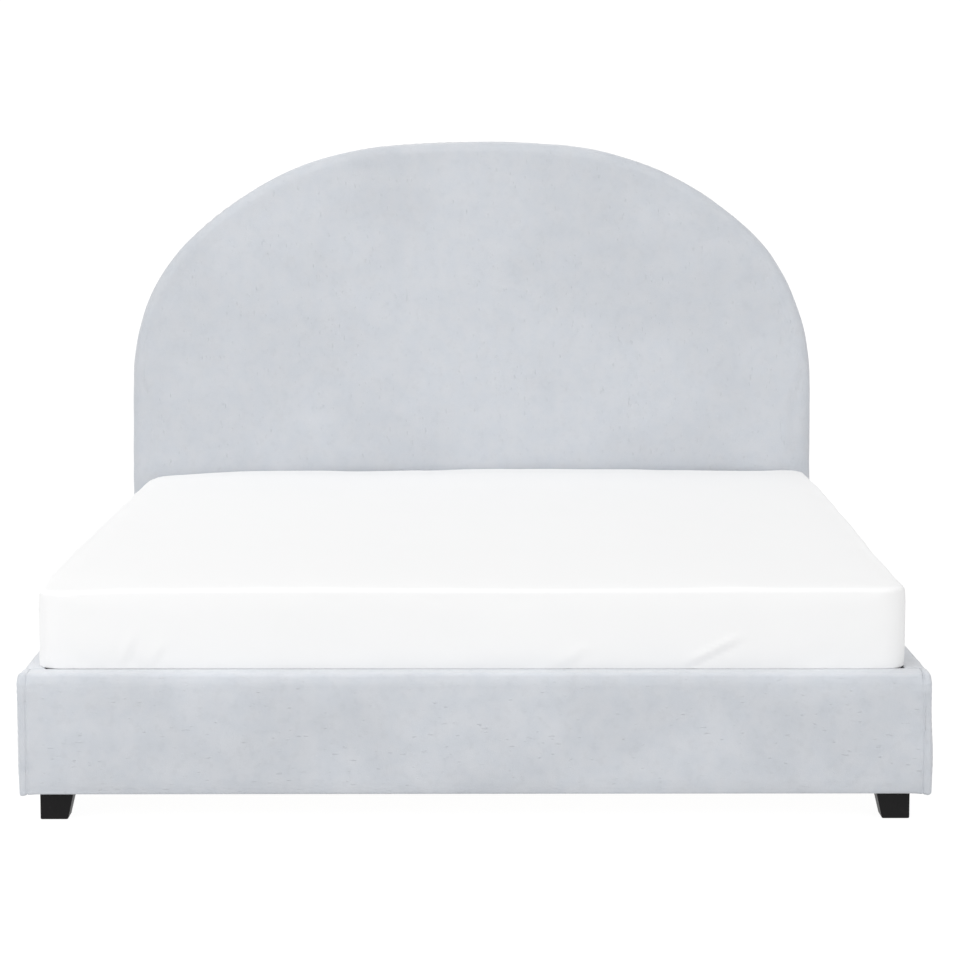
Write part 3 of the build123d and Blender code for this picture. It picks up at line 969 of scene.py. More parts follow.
def carried_over(node: str, finish: Finish) -> bpy.types.Object:
    """Gives a node of the model its finish and keeps its shape.

    Args:
        node: The node's name.
        finish: Its finish.

    Returns:
        The node's object.
    """
    piece = bpy.data.objects[node]
    piece.data.materials.clear()
    piece.data.materials.append(finish.material())
    return piece


class Outline(ABC):
    """A closed outline that a panel of rows and columns fits into."""

    @abstractmethod
    def edges(self, columns: int, rows: int, inset: float) -> list[np.ndarray]:
        """The bottom, right, top and left edges, each from left to right or upwards.

        Args:
            columns: Points along the bottom and the top.
            rows: Points up each side.
            inset: How far the outline is drawn in.

        Returns:
            The four edges.
        """

    def loop(self, columns: int, rows: int, inset: float) -> np.ndarray:
        """The drawn-in outline as a loop in the order of a panel's rim."""
        return rim_loop(self.edges(columns, rows, inset))

    def area(self, columns: int, rows: int, inset: float) -> float:
        """The area inside the drawn-in outline."""
        across, up = self.loop(columns, rows, inset).T
        return float(abs(np.dot(across, np.roll(up, -1)) - np.dot(up, np.roll(across, -1))) / 2)


@dataclass
class Arch(Outline):
    """The headboard's outline: a crown arc, then a shoulder and a haunch arc on each side."""

    width: float
    height: float
    floor: float
    crown_share: float = 1.4625
    shoulder_share: float = 0.469
    crown_angle: float = math.radians(5)
    shoulder_angle: float = math.radians(43.7)

    def __post_init__(self) -> None:
        """Works out the arcs."""
        crown = self.width * self.crown_share
        shoulder = self.width * self.shoulder_share
        crown_centre = (0.0, self.height - crown)
        shoulder_centre = self.on_arc(crown_centre, crown - shoulder, self.crown_angle)
        end = self.on_arc(shoulder_centre, shoulder, self.shoulder_angle)
        haunch = (self.width / 2 - end[0]) / (1 - math.sin(self.shoulder_angle))
        haunch_centre = self.on_arc(shoulder_centre, shoulder - haunch, self.shoulder_angle)
        self.arcs = (
            (haunch_centre, haunch, math.pi / 2, self.shoulder_angle),
            (shoulder_centre, shoulder, self.shoulder_angle, self.crown_angle),
            (crown_centre, crown, self.crown_angle, 0.0),
        )
        self.spring_height = haunch_centre[1]

    @staticmethod
    def on_arc(centre: tuple[float, float], radius: float, angle: float) -> tuple[float, float]:
        """A point of an arc, at an angle from upright."""
        return centre[0] + radius * math.sin(angle), centre[1] + radius * math.cos(angle)

    def top(self, count: int, inset: float) -> np.ndarray:
        """Points over the arch from left to right, evenly spaced and drawn in by the inset.

        Args:
            count: How many points there are.
            inset: How far the arch is drawn in.

        Returns:
            The points.
        """
        lengths = [radius * (start - end) for _, radius, start, end in self.arcs]
        half = sum(lengths)
        points = []
        for place in np.linspace(-half, half, count):
            left = half - abs(place)
            for (centre, radius, start, end), length in zip(self.arcs, lengths):
                if left <= length or end == 0.0:
                    angle = start - min(left / length, 1.0) * (start - end)
                    x, z = self.on_arc(centre, radius - inset, angle)
                    break
                left -= length
            points.append((math.copysign(x, place) if place else 0.0, z))
        return np.array(points)

    def edges(self, columns: int, rows: int, inset: float) -> list[np.ndarray]:
        """The bottom, right, top and left edges of the outline drawn in by an inset.

        Args:
            columns: Points along the bottom and the top.
            rows: Points up each side.
            inset: How far the outline is drawn in.

        Returns:
            The four edges.
        """
        half = self.width / 2 - inset
        low = self.floor + inset
        heights = np.linspace(low, self.spring_height, rows)
        across = np.linspace(-half, half, columns)
        bottom = np.stack([across, np.full(columns, low)], axis=1)
        left = np.stack([np.full(rows, -half), heights], axis=1)
        right = left * (-1, 1)
        return [bottom, right, self.top(columns, inset), left]


@dataclass
class RoundedRectangle(Outline):
    """A rectangle round the origin, with round corners."""

    width: float
    length: float
    radius: float
    least_radius: float = 0.012
    corner_steps: int = 5

    def side(self, half: float, depth: float, radius: float, count: int) -> np.ndarray:
        """One side, from the middle of a corner to the middle of the next.

        Args:
            half: Half the side's length.
            depth: How far the side lies below the origin.
            radius: The corners' radius.
            count: How many points it has.

        Returns:
            The side's points.
        """
        angles = np.linspace(math.pi / 4, 0, self.corner_steps, endpoint=False)
        corner_x = half - radius + radius * np.sin(angles)
        corner_y = -(depth - radius) - radius * np.cos(angles)
        straight = np.linspace(-(half - radius), half - radius, count - 2 * self.corner_steps)
        x = np.concatenate([-corner_x, straight, corner_x[::-1]])
        y = np.concatenate([corner_y, np.full(len(straight), -depth), corner_y[::-1]])
        return np.stack([x, y], axis=1)

    def edges(
        self, columns: int, rows: int, inset: float, radius: float | None = None
    ) -> list[np.ndarray]:
        """The bottom, right, top and left edges of the rectangle drawn in by an inset.

        Args:
            columns: Points along the bottom and the top.
            rows: Points up each side.
            inset: How far the rectangle is drawn in.
            radius: The corners' radius, if it doesn't follow the inset.

        Returns:
            The four edges.
        """
        half_x, half_y = self.width / 2 - inset, self.length / 2 - inset
        round_by = max(self.radius - inset, self.least_radius) if radius is None else radius
        bottom = self.side(half_x, half_y, round_by, columns)
        left = self.side(half_y, half_x, round_by, rows)[:, ::-1]
        return [bottom, left * (-1, 1), bottom * (1, -1), left]


@dataclass
class Headboard(SubAssembly):
    """The arched headboard: a padded cover, the dust cloth on its back and the timber inside."""

    columns: int = 116
    rows: int = 74
    front_radius: float = 0.027
    back_radius: float = 0.004
    back_round_share: float = 0.3
    round_steps: int = 7
    band_steps: int = 4
    hem_width: float = 0.075
    hem_steps: int = 5
    back_field_share: float = 1.2
    held_shares: Span = (0.16, 0.36)
    flat_height: float = 0.30
    flat_blend: float = 0.06
    unevenness: tuple[Ripple, ...] = (Ripple(0.30, 0.0007, 3), Ripple(0.075, 0.00025, 4))
    even_shares: Span = (0.5, 0.85)
    gather_shares: Span = (0.35, 0.9)
    gather_end: Span = (0.005, 0.001)
    curve_run: Span = (0.05, 0.1)
    gather_hub_share: float = 0.8
    gather_radius: float = 0.62
    pucker_pitch: float = 0.021
    pucker_height: float = 0.0011
    pucker_beat: float = 31.0
    pucker_phase: float = 1.3
    skew: float = 0.011
    skew_from: float = 0.80
    swell: float = 0.0045
    swell_span: Span = (0.60, 0.85)
    lining_columns: int = 60
    lining_rows: int = 40
    lining_inset: float = 0.058
    lining_lift: float = 0.0012
    lining_thickness: float = 0.0006
    lining_ripple: Ripple = Ripple(0.22, 0.0005, 8)
    staple_inset: float = 0.007
    staple_pitch: float = 0.055
    cloth: ClothRun = ClothRun(pressure=3.2, cap=0.0045, frames=16)

    def __post_init__(self) -> None:
        """Takes the sizes from the model."""
        self.low, self.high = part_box("headboard_cover")
        self.depth = self.high.y - self.low.y
        self.arch = Arch(self.high.x - self.low.x, self.high.z, self.low.z)

    def build(self, finishes: Finishes) -> Iterable[bpy.types.Object]:
        """Makes the padded cover, the lining and its staples, and dresses the timber.

        Args:
            finishes: The bed's finishes.

        Returns:
            The finished pieces.
        """
        yield self.pad(finishes.headboard)
        yield self.lining(finishes.lining)
        yield self.staples(finishes.zinc)
        yield carried_over("headboard_panel", finishes.plywood)
        for side in ("left", "right"):
            yield carried_over(f"headboard_post_{side}", finishes.upright)
        for node in ("headboard_cross_rails", "headboard_arch_rib"):
            yield carried_over(node, finishes.across)

    def at_depth(self, outline: np.ndarray, depth: float) -> np.ndarray:
        """An outline's points at a depth behind the front face."""
        return np.insert(outline, 1, self.low.y + depth, axis=1)

    def above_flat(self, points: np.ndarray) -> np.ndarray:
        """0 low down, where the cover is flat, and 1 above, with a smooth change between."""
        low, high = self.flat_height - self.flat_blend, self.flat_height + self.flat_blend
        return soft_step(points[:, 2], low, high)

    def loops(self) -> list[tuple[float, float]]:
        """Draw-in and depth of each loop from the front's rounding to the hem on the back.

        Returns:
            The draw-in and the depth of each loop.
        """
        found = []
        for step in range(1, self.round_steps + 1):
            turn = math.pi / 2 * step / self.round_steps
            inset = self.front_radius * (1 - math.sin(turn))
            found.append((inset, self.front_radius * (1 - math.cos(turn))))
        band = self.depth - self.front_radius - self.back_radius
        for step in range(1, self.band_steps + 1):
            found.append((0.0, self.front_radius + band * step / self.band_steps))
        eased_by = self.back_radius * self.back_round_share
        found += [(eased_by, self.depth - eased_by), (self.back_radius, self.depth)]
        hem_step = self.hem_width / self.hem_steps
        return found + [(hem_step * step, self.depth) for step in range(1, self.hem_steps + 1)]

    def pad(self, finish: Finish) -> bpy.types.Object:
        """The cover over its foam, crowned by its simulation and puckered round the arch.

        Args:
            finish: The fabric.

        Returns:
            The cover.
        """
        edges = self.arch.edges(self.columns, self.rows, self.front_radius)
        front = self.at_depth(blended_field(*edges), 0.0)
        rings = [
            self.at_depth(self.arch.loop(self.columns, self.rows, inset), back)
            for inset, back in self.loops()
        ]
        back_inset = self.hem_width * self.back_field_share
        back_edges = self.arch.edges(self.columns, self.rows, back_inset)
        back = self.at_depth(blended_field(*back_edges), self.depth)
        points, faces = Panel(self.rows, self.columns).assemble(front, rings, back)
        mesh = closed_mesh("headboard_pad", points, faces)
        piece = new_piece("headboard_pad", mesh, finish)
        start = points_of(mesh)
        held_from, held_to = self.depth * np.array(self.held_shares)
        behind = soft_step(start[:, 1] - self.low.y, held_from, held_to)
        self.cloth.settle(piece, np.maximum(behind, 1 - self.above_flat(start)))
        subdivided(piece)
        self.finish_surface(piece.data)
        declared(piece, "frame", "upholstery", "headboard_cover", "headboard_foam")
        return piece

    def finish_surface(self, mesh: bpy.types.Mesh) -> None:
        """Adds the foam's unevenness and the gathers where the cover turns round the arch.

        Args:
            mesh: The cover's mesh.
        """
        points = points_of(mesh)
        depth = points[:, 1] - self.low.y
        even_from, even_to = self.depth * np.array(self.even_shares)
        free = self.above_flat(points) * (1 - soft_step(depth, even_from, even_to))
        lift = rippled(points, self.unevenness) * free
        gather_from, gather_to = self.depth * np.array(self.gather_shares)
        end_from, end_to = self.depth - np.array(self.gather_end)
        near_back = soft_step(depth, gather_from, gather_to)
        near_back = near_back * (1 - soft_step(depth, end_from, end_to))
        spring = self.arch.spring_height
        below, above = self.curve_run
        curved = soft_step(points[:, 2], spring - below, spring + above)
        angle = np.arctan2(points[:, 0], points[:, 2] - spring * self.gather_hub_share)
        around = angle * self.gather_radius
        pulls = np.sin(around * (math.tau / self.pucker_pitch))
        pulls = pulls * np.cos(around * self.pucker_beat + self.pucker_phase)
        lift += self.pucker_height * pulls * near_back * curved
        set_points(mesh, self.stood(points + normals_of(mesh) * lift[:, None]))

    def stood(self, points: np.ndarray) -> np.ndarray:
        """Points as the padding stands: swollen low down, and a little to the right at its top.

        Args:
            points: The cover's points.

        Returns:
            The moved points.
        """
        moved = points.copy()
        swollen = 1 - soft_step(points[:, 2], *self.swell_span)
        moved[:, 0] *= 1 + swollen * self.swell / self.high.x
        moved[:, 0] += self.skew * soft_step(points[:, 2], self.skew_from, self.high.z)
        return moved

    def lining(self, finish: Finish) -> bpy.types.Object:
        """The dust cloth, stapled over the hem on the back.

        Args:
            finish: The dust cloth's finish.

        Returns:
            The dust cloth.
        """
        columns, rows, inset = self.lining_columns, self.lining_rows, self.lining_inset
        outline = blended_field(*self.arch.edges(columns, rows, inset))
        points = self.at_depth(outline, self.depth + self.lining_lift)
        points[:, 1] += self.lining_ripple.at(points)
        faces = Panel(rows, columns).field_faces(0, turned=True)
        mesh = bpy.data.meshes.new("headboard_dust_cloth")
        mesh.from_pydata([tuple(point) for point in points], [], faces)
        piece = new_piece("headboard_dust_cloth", mesh, finish)
        solid = piece.modifiers.new("thickness", "SOLIDIFY")
        solid.thickness = self.lining_thickness
        solid.offset = 1.0
        declared(piece, "frame", "dust_cloth", "headboard_lining")
        area = self.arch.area(columns, rows, inset)
        return piece

    def staples(self, finish: Finish) -> bpy.types.Object:
        """Staples that run round the dust cloth's edge.

        Args:
            finish: The wire's finish.

        Returns:
            The staples.
        """
        inset = self.lining_inset + self.staple_inset
        outline = self.arch.loop(self.lining_columns, self.lining_rows, inset)
        loop = self.at_depth(outline, self.depth + self.lining_lift + self.lining_thickness)
        piece = StapleLine().along("headboard_staples", loop, self.staple_pitch, finish)
        declared(piece, "frame", "zinc_steel")
        return piece


class Recipe(Graph):
    """A geometry node tree with named inputs for its sizes."""

    def __init__(self, name: str, sizes: dict[str, float | int]) -> None:
        """Starts the tree.

        Args:
            name: The tree's name.
            sizes: Its inputs and their values. A whole number makes an integer input.
        """
        super().__init__(bpy.data.node_groups.new(name, "GeometryNodeTree"))
        interface = self.tree.interface
        interface.new_socket("Geometry", in_out="INPUT", socket_type="NodeSocketGeometry")
        interface.new_socket("Geometry", in_out="OUTPUT", socket_type="NodeSocketGeometry")
        self.sizes = sizes
        for label, value in sizes.items():
            kind = "NodeSocketInt" if isinstance(value, int) else "NodeSocketFloat"
            interface.new_socket(label, in_out="INPUT", socket_type=kind)
        self.source = self.node("NodeGroupInput")

    def size(self, label: str) -> Socket:
        """The input of that name."""
        return self.source.outputs[label]

    @property
    def incoming(self) -> Socket:
        """The geometry that the tree is given."""
        return self.source.outputs["Geometry"]

    def spread(self, shape: Socket, points: Socket, rotation: Socket | None = None) -> Socket:
        """Copies a shape on to points.

        Args:
            shape: The geometry that is copied.
            points: The points that it is copied to.
            rotation: How each copy is turned, if it is.

        Returns:
            The copies.
        """
        inputs = {"Points": points, "Instance": shape}
        if rotation is not None:
            inputs["Rotation"] = rotation
        return self.node("GeometryNodeInstanceOnPoints", inputs).outputs[0]

    def gathered(self, *shapes: Socket) -> Socket:
        """Joins several geometries.

        Args:
            shapes: The geometries.

        Returns:
            All of them as one geometry.
        """
        made = self.node("GeometryNodeJoinGeometry")
        for shape in shapes:
            self.tree.links.new(shape, made.inputs[0])
        return made.outputs[0]

    def raised(self, shape: Socket, height: Socket) -> Socket:
        """A geometry whose points are moved up."""
        inputs = {"Geometry": shape, "Offset": self.join(0.0, 0.0, height)}
        return self.node("GeometryNodeSetPosition", inputs).outputs[0]

    def shape(self, kind: str, inputs: dict, **settings: object) -> Socket:
        """A basic mesh of a kind, such as a cube."""
        return self.node(f"GeometryNodeMesh{kind}", inputs, **settings).outputs[0]

    def bake(
        self, name: str, shape: Socket, finish: Finish, base: bpy.types.Mesh | None = None
    ) -> bpy.types.Object:
        """Ends the tree, runs it once and keeps the result as a plain piece.

        Args:
            name: The piece's name.
            shape: The geometry to realize.
            finish: The piece's finish.
            base: The mesh that the tree works on, if any.

        Returns:
            The piece, with no modifier.
        """
        real = self.node("GeometryNodeRealizeInstances", {"Geometry": shape}).outputs[0]
        inputs = {"Geometry": real, "Material": finish.material()}
        dressed = self.node("GeometryNodeSetMaterial", inputs).outputs[0]
        self.node("NodeGroupOutput", {"Geometry": dressed})
        label = f"{name}_recipe"
        carrier = bpy.data.objects.new(label, base or bpy.data.meshes.new(label))
        bpy.context.scene.collection.objects.link(carrier)
        modifier = carrier.modifiers.new("recipe", "NODES")
        modifier.node_group = self.tree
        for item in self.tree.interface.items_tree:
            if item.in_out == "INPUT" and item.name in self.sizes:
                modifier[item.identifier] = self.sizes[item.name]
        mesh = evaluated(carrier)
        bpy.data.objects.remove(carrier)
        return new_piece(name, mesh, finish)


def eased(
    piece: bpy.types.Object, width: float, segments: int = 2, angle: float = 35.0
) -> bpy.types.Object:
    """Rounds a piece's sharp edges a little and keeps its flat faces flat.

    Args:
        piece: The piece.
        width: How wide the eased edges are.
        segments: How many faces round an edge.
        angle: The angle in degrees from which an edge is sharp.

    Returns:
        The same piece.
    """
    piece.data.set_sharp_from_angle(angle=math.radians(angle))
    bevel = piece.modifiers.new("eased_edges", "BEVEL")
    bevel.width = width
    bevel.segments = segments
    bevel.limit_method = "ANGLE"
    bevel.angle_limit = math.radians(angle)
    bevel.harden_normals = True
    return piece


def eased_copy(node: str, finish: Finish, width: float, body: str, slot: str) -> bpy.types.Object:
    """A copy of a node with its edges eased, which stands for that node.

    Args:
        node: The node's name.
        finish: The copy's finish.
        width: How wide the eased edges are.
        body: The body that the node rides on.
        slot: A material slot's name, which is handed on to declared.

    Returns:
        The copy.
    """
    mesh = bpy.data.objects[node].data.copy()
    work = bmesh.new()
    work.from_mesh(mesh)
    bmesh.ops.remove_doubles(work, verts=work.verts, dist=WELD)
    bmesh.ops.dissolve_limit(work, angle_limit=FLAT_ANGLE, verts=work.verts, edges=work.edges)
    work.to_mesh(mesh)
    work.free()
    piece = eased(new_piece(f"{node}_eased", mesh, finish), width)
    declared(piece, body, slot, node)
    return piece


@dataclass
class StapleLine:
    """Wire staples spaced along a closed line."""

    crown: float = 0.0105
    wire: float = 0.0012

    def along(self, name: str, loop: np.ndarray, pitch: float, finish: Finish) -> bpy.types.Object:
        """Makes the staples.

        Args:
            name: The piece's name.
            loop: The line's points.
            pitch: The distance between staples.
            finish: The wire's finish.

        Returns:
            The piece.
        """
        base = bpy.data.meshes.new(name)
        count = len(loop)
        links = [(number, (number + 1) % count) for number in range(count)]
        base.from_pydata([tuple(point) for point in loop], links, [])
        recipe = Recipe("staple_line", {"Crown": self.crown, "Wire": self.wire, "Pitch": pitch})
        curve = recipe.node("GeometryNodeMeshToCurve", {0: recipe.incoming}).outputs[0]
        inputs = {"Curve": curve, "Length": recipe.size("Pitch")}
        places = recipe.node("GeometryNodeCurveToPoints", inputs, mode="LENGTH")
        size = recipe.join(recipe.size("Wire"), recipe.size("Wire"), recipe.size("Crown"))
        staple = recipe.shape("Cube", {"Size": size})
        spread = recipe.spread(staple, places.outputs["Points"], places.outputs["Rotation"])
        return eased(recipe.bake(name, spread, finish, base), self.wire / 4)


@dataclass(frozen=True)
class Corners:
    """Roundings of a bar's section."""

    outer_top: float
    inner_top: float
    bottom: float


@dataclass
class PaddedBar:
    """A long upholstered bar whose section is rounded and whose ends are rounded or sewn on.

    The section is drawn from the bar's outer face to its inner one, and the length runs along X
    or Y.
    """

    name: str
    cover: str
    foam: str
    along: Axis
    outward: int
    corners: Corners
    end_radius: float
    seam_inset: float | None = None
    seam_width: float = 0.0028
    seam_depth: float = 0.0024
    seam_reach: float = 0.016
    spacing: float = 0.0125
    corner_spacing: float = 0.0035
    least_corner_steps: int = 3
    end_steps: int = 5
    pucker_pitch: float = 0.014
    pucker_height: float = 0.0008
    pucker_beat: float = 47.0
    pucker_phase: float = 0.6
    end_swell: float = 0.0016
    droop: float = 0.0
    droop_reach: float = 0.034
    droop_height: float = 0.03
    free_shares: Span = (0.3, 0.7)
    held_height: float = 0.02
    flat_height: float = 0.006
    unevenness: tuple[Ripple, ...] = (Ripple(0.32, 0.0009, 11), Ripple(0.07, 0.0003, 12))
    cloth: ClothRun | None = None
    weld: float = 2e-4

    def __post_init__(self) -> None:
        """Takes the bar's place from the model."""
        low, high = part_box(self.cover)
        self.across = Axis.Y if self.along is Axis.X else Axis.X
        self.start, self.stop = low[self.along.value], high[self.along.value]
        self.floor, self.top = low.z, high.z
        self.height = self.top - self.floor
        self.thickness = high[self.across.value] - low[self.across.value]
        self.outer = (high if self.outward > 0 else low)[self.across.value]

    def section(self) -> tuple[np.ndarray, np.ndarray]:
        """The section's points and their outward directions, across and up from the outer foot.

        Returns:
            The points, and the directions.
        """
        runs = (
            ((self.thickness, 0.0), self.corners.bottom, -90.0),
            ((self.thickness, self.height), self.corners.inner_top, 0.0),
            ((0.0, self.height), self.corners.outer_top, 90.0),
            ((0.0, 0.0), self.corners.bottom, 180.0),
        )
        rounded = []
        for (across, up), radius, first in runs:
            steps = max(self.least_corner_steps, round(radius / self.corner_spacing))
            centre_x = across - math.copysign(radius, across - self.thickness / 2)
            centre_z = up - math.copysign(radius, up - self.height / 2)
            for step in range(steps + 1):
                angle = math.radians(first + 90 * step / steps)
                way = (math.cos(angle), math.sin(angle))
                rounded.append(((centre_x + radius * way[0], centre_z + radius * way[1]), way))
        points, directions = [], []
        for (point, way), (after, _) in zip(rounded, rounded[1:] + rounded[:1]):
            pieces = max(1, round(math.dist(point, after) / self.spacing))
            for step in range(pieces):
                share = step / pieces
                points.append([a + (b - a) * share for a, b in zip(point, after)])
                directions.append(way)
        return np.array(points), np.array(directions)

    def stations(self) -> list[tuple[float, float]]:
        """Distances from one end up to the middle, each with the section's draw-in.

        Returns:
            The distance and the draw-in of each station.
        """
        found = []
        reached = self.end_radius
        for step in range(self.end_steps + 1):
            turn = math.pi / 2 * step / self.end_steps
            found.append((reached * (1 - math.cos(turn)), reached * (1 - math.sin(turn))))
        if self.seam_inset is not None:
            for offset, depth in SEAM_SHARES:
                place = self.seam_inset + offset * self.seam_width
                found.append((place, depth * self.seam_depth))
            reached = self.seam_inset + self.seam_width
        half = (self.stop - self.start) / 2
        steps = round((half - reached) / self.spacing)
        found += [(reached + (half - reached) * step / steps, 0.0) for step in range(1, steps + 1)]
        return found

    def inset(self, points: np.ndarray, directions: np.ndarray, draw: float) -> np.ndarray:
        """The section drawn in, and past its roundings kept inside the drawn-in rectangle.

        Args:
            points: The section's points.
            directions: Their outward directions.
            draw: How far they are drawn in.

        Returns:
            The moved points.
        """
        moved = points - directions * draw
        limit = min(draw, self.thickness / 2)
        moved[:, 0] = np.clip(moved[:, 0], limit, self.thickness - limit)
        moved[:, 1] = np.clip(moved[:, 1], draw, self.height - draw)
        return moved

    def placed(self, section: np.ndarray, place: float) -> np.ndarray:
        """A section's points in the model, at a place along the bar.

        Args:
            section: The section's points.
            place: Where they lie along the bar.

        Returns:
            The points in the model.
        """
        across = self.outer - self.outward * section[:, 0]
        along = np.full(len(section), place)
        columns = (along, across) if self.along is Axis.X else (across, along)
        return np.stack([*columns, self.floor + section[:, 1]], axis=1)

    def build(self, finish: Finish, body: str) -> bpy.types.Object:
        """Makes the bar.

        Args:
            finish: The cover's finish.
            body: The body that it rides on.

        Returns:
            The piece.
        """
        points, directions = self.section()
        stations = self.stations()
        length = self.stop - self.start
        whole = stations + [(length - place, draw) for place, draw in stations[-2::-1]]
        cap_draws = np.linspace(self.thickness / 2, self.end_radius, self.end_steps)[:-1]
        rings = [(0.0, draw) for draw in cap_draws] + whole
        rings += [(length, draw) for draw in cap_draws[::-1]]
        loops = [
            self.placed(self.inset(points, directions, draw), self.start + place)
            for place, draw in rings
        ]
        count = len(points)
        faces = []
        for first in range(0, (len(loops) - 1) * count, count):
            loop = range(first, first + count)
            faces += Panel.band_faces(loop, [number + count for number in loop])
        mesh = closed_mesh(self.name, np.concatenate(loops), faces, self.weld)
        self.close_ends(mesh)
        piece = new_piece(self.name, mesh, finish)
        if self.cloth is not None:
            self.cloth.settle(piece, self.held(points_of(mesh)))
        subdivided(piece)
        self.finish_surface(piece.data)
        declared(piece, body, "upholstery", self.cover, self.foam)
        return piece

    @staticmethod
    def close_ends(mesh: bpy.types.Mesh) -> None:
        """Fills what the end sections leave open and turns all faces outwards.

        Args:
            mesh: The bar's mesh.
        """
        work = bmesh.new()
        work.from_mesh(mesh)
        bmesh.ops.holes_fill(work, edges=work.edges, sides=0)
        bmesh.ops.recalc_face_normals(work, faces=work.faces)
        work.to_mesh(mesh)
        work.free()

    def local(self, points: np.ndarray) -> tuple[np.ndarray, np.ndarray, np.ndarray]:
        """Distance from the nearer end, depth behind the outer face and height over the floor.

        Args:
            points: Points in the model.

        Returns:
            The three distances of each point.
        """
        along, across = points[:, self.along.value], points[:, self.across.value]
        from_end = np.minimum(along - self.start, self.stop - along)
        return from_end, (self.outer - across) * self.outward, points[:, 2] - self.floor

    def inner(self, depth: np.ndarray) -> np.ndarray:
        """0 at the outer face and 1 at the inner one, with a smooth change between."""
        low, high = self.thickness * np.array(self.free_shares)
        return soft_step(depth, low, high)

    def held(self, points: np.ndarray) -> np.ndarray:
        """How firmly the simulation holds each point: the inner face and the underside stay."""
        _, depth, height = self.local(points)
        return np.maximum(self.inner(depth), 1 - soft_step(height, 0.0, self.held_height))

    def finish_surface(self, mesh: bpy.types.Mesh) -> None:
        """Adds the foam's unevenness, the seam's puckers and the sewn corner's droop.

        Args:
            mesh: The bar's mesh.
        """
        points = points_of(mesh)
        from_end, depth, height = self.local(points)
        free = 1 - self.inner(depth)
        lift = rippled(points, self.unevenness) * free * soft_step(height, 0.0, self.flat_height)
        if self.seam_inset is not None:
            near = bell(from_end - self.seam_inset, self.seam_reach)
            wave = np.sin(height * (math.tau / self.pucker_pitch))
            wave = wave * np.cos(height * self.pucker_beat + self.pucker_phase)
            lift += self.pucker_height * wave * near * free
            lift += self.end_swell * (1 - soft_step(from_end, 0.0, self.seam_inset)) * free
        moved = points + normals_of(mesh) * lift[:, None]
        near_end = 1 - soft_step(from_end, 0.0, self.droop_reach)
        low_down = 1 - soft_step(height, 0.0, self.droop_height)
        moved[:, 2] -= self.droop * near_end * low_down * free
        set_points(mesh, moved)


@dataclass
class Footboard(SubAssembly):
    """The footboard: a padded cover with sewn end panels over two boards and their spacers."""

    corners: Corners = Corners(0.025, 0.003, 0.008)
    end_radius: float = 0.007
    seam_inset: float = 0.0145
    droop: float = 0.0025
    cloth: ClothRun = ClothRun(pressure=2.4, cap=0.003, frames=14)

    def build(self, finishes: Finishes) -> Iterable[bpy.types.Object]:
        """Makes the padded cover and dresses the boards.

        Args:
            finishes: The bed's finishes.

        Returns:
            The finished pieces.
        """
        bar = PaddedBar(
            "footboard_pad",
            "footboard_cover",
            "footboard_foam",
            Axis.X,
            End.FOOT.value,
            self.corners,
            self.end_radius,
            seam_inset=self.seam_inset,
            droop=self.droop,
            cloth=self.cloth,
        )
        yield bar.build(finishes.base, "frame")
        for node in ("footboard_front_board", "footboard_back_board"):
            yield carried_over(node, finishes.plywood)
        yield carried_over("footboard_spacers", finishes.upright)


@dataclass
class SideRail(SubAssembly):
    """One side rail: a padded cover over a board, and the ledger that carries the slats."""

    side: Side
    corners: Corners = Corners(0.010, 0.003, 0.0045)
    end_radius: float = 0.003
    ledger_ease: float = 0.0015
    ripples: tuple[Ripple, ...] = (Ripple(0.34, 0.0008, 20), Ripple(0.08, 0.0003, 25))

    def build(self, finishes: Finishes) -> Iterable[bpy.types.Object]:
        """Makes the padded cover and the ledger and dresses the board.

        Args:
            finishes: The bed's finishes.

        Returns:
            The finished pieces.
        """
        name = self.side.name.lower()
        seed_step = self.side.value
        bar = PaddedBar(
            f"side_rail_pad_{name}",
            f"side_rail_cover_{name}",
            f"side_rail_foam_{name}",
            Axis.Y,
            self.side.value,
            self.corners,
            self.end_radius,
            unevenness=tuple(replace(each, seed=each.seed + seed_step) for each in self.ripples),
        )
        yield bar.build(finishes.rail, "frame")
        yield carried_over(f"side_rail_board_{name}", finishes.lengthwise)
        ledger = f"slat_ledger_{name}"
        yield eased_copy(ledger, finishes.lengthwise, self.ledger_ease, "frame", "timber")


@dataclass(frozen=True)
class Fold:
    """A crease that the sheet shows on its foot end, between two points across and up.

    The heights are measured from the rails' tops.
    """

    start: tuple[float, float]
    stop: tuple[float, float]
    width: float
    height: float
    furrow_share: float = 0.7
    furrow_offset: float = 1.6
    fade_in: Span = (-0.1, 0.25)
    fade_out: Span = (1.1, 0.7)

    def at(self, across: np.ndarray, up: np.ndarray) -> np.ndarray:
        """The crease's height: a ridge with a furrow along its lower side.

        Args:
            across: Each point's place across.
            up: Its height over the rails' tops.

        Returns:
            The heights.
        """
        run = np.array(self.stop) - np.array(self.start)
        length = float(np.linalg.norm(run))
        heading = run / length
        offset_x, offset_z = across - self.start[0], up - self.start[1]
        along = (offset_x * heading[0] + offset_z * heading[1]) / length
        aside = offset_z * heading[0] - offset_x * heading[1]
        fade = soft_step(along, *self.fade_in) * soft_step(along, *self.fade_out)
        furrow = bell(aside + self.furrow_offset * self.width, self.width)
        return self.height * (bell(aside, self.width) - self.furrow_share * furrow) * fade


@dataclass(frozen=True)
class Sag:
    """A place where the sheet's top sinks."""

    place: tuple[float, float]
    width: float
    depth: float

    def at(self, points: np.ndarray) -> np.ndarray:
        """How far each point sinks."""
        distance = np.hypot(points[:, 0] - self.place[0], points[:, 1] - self.place[1])
        return self.depth * bell(distance, self.width)


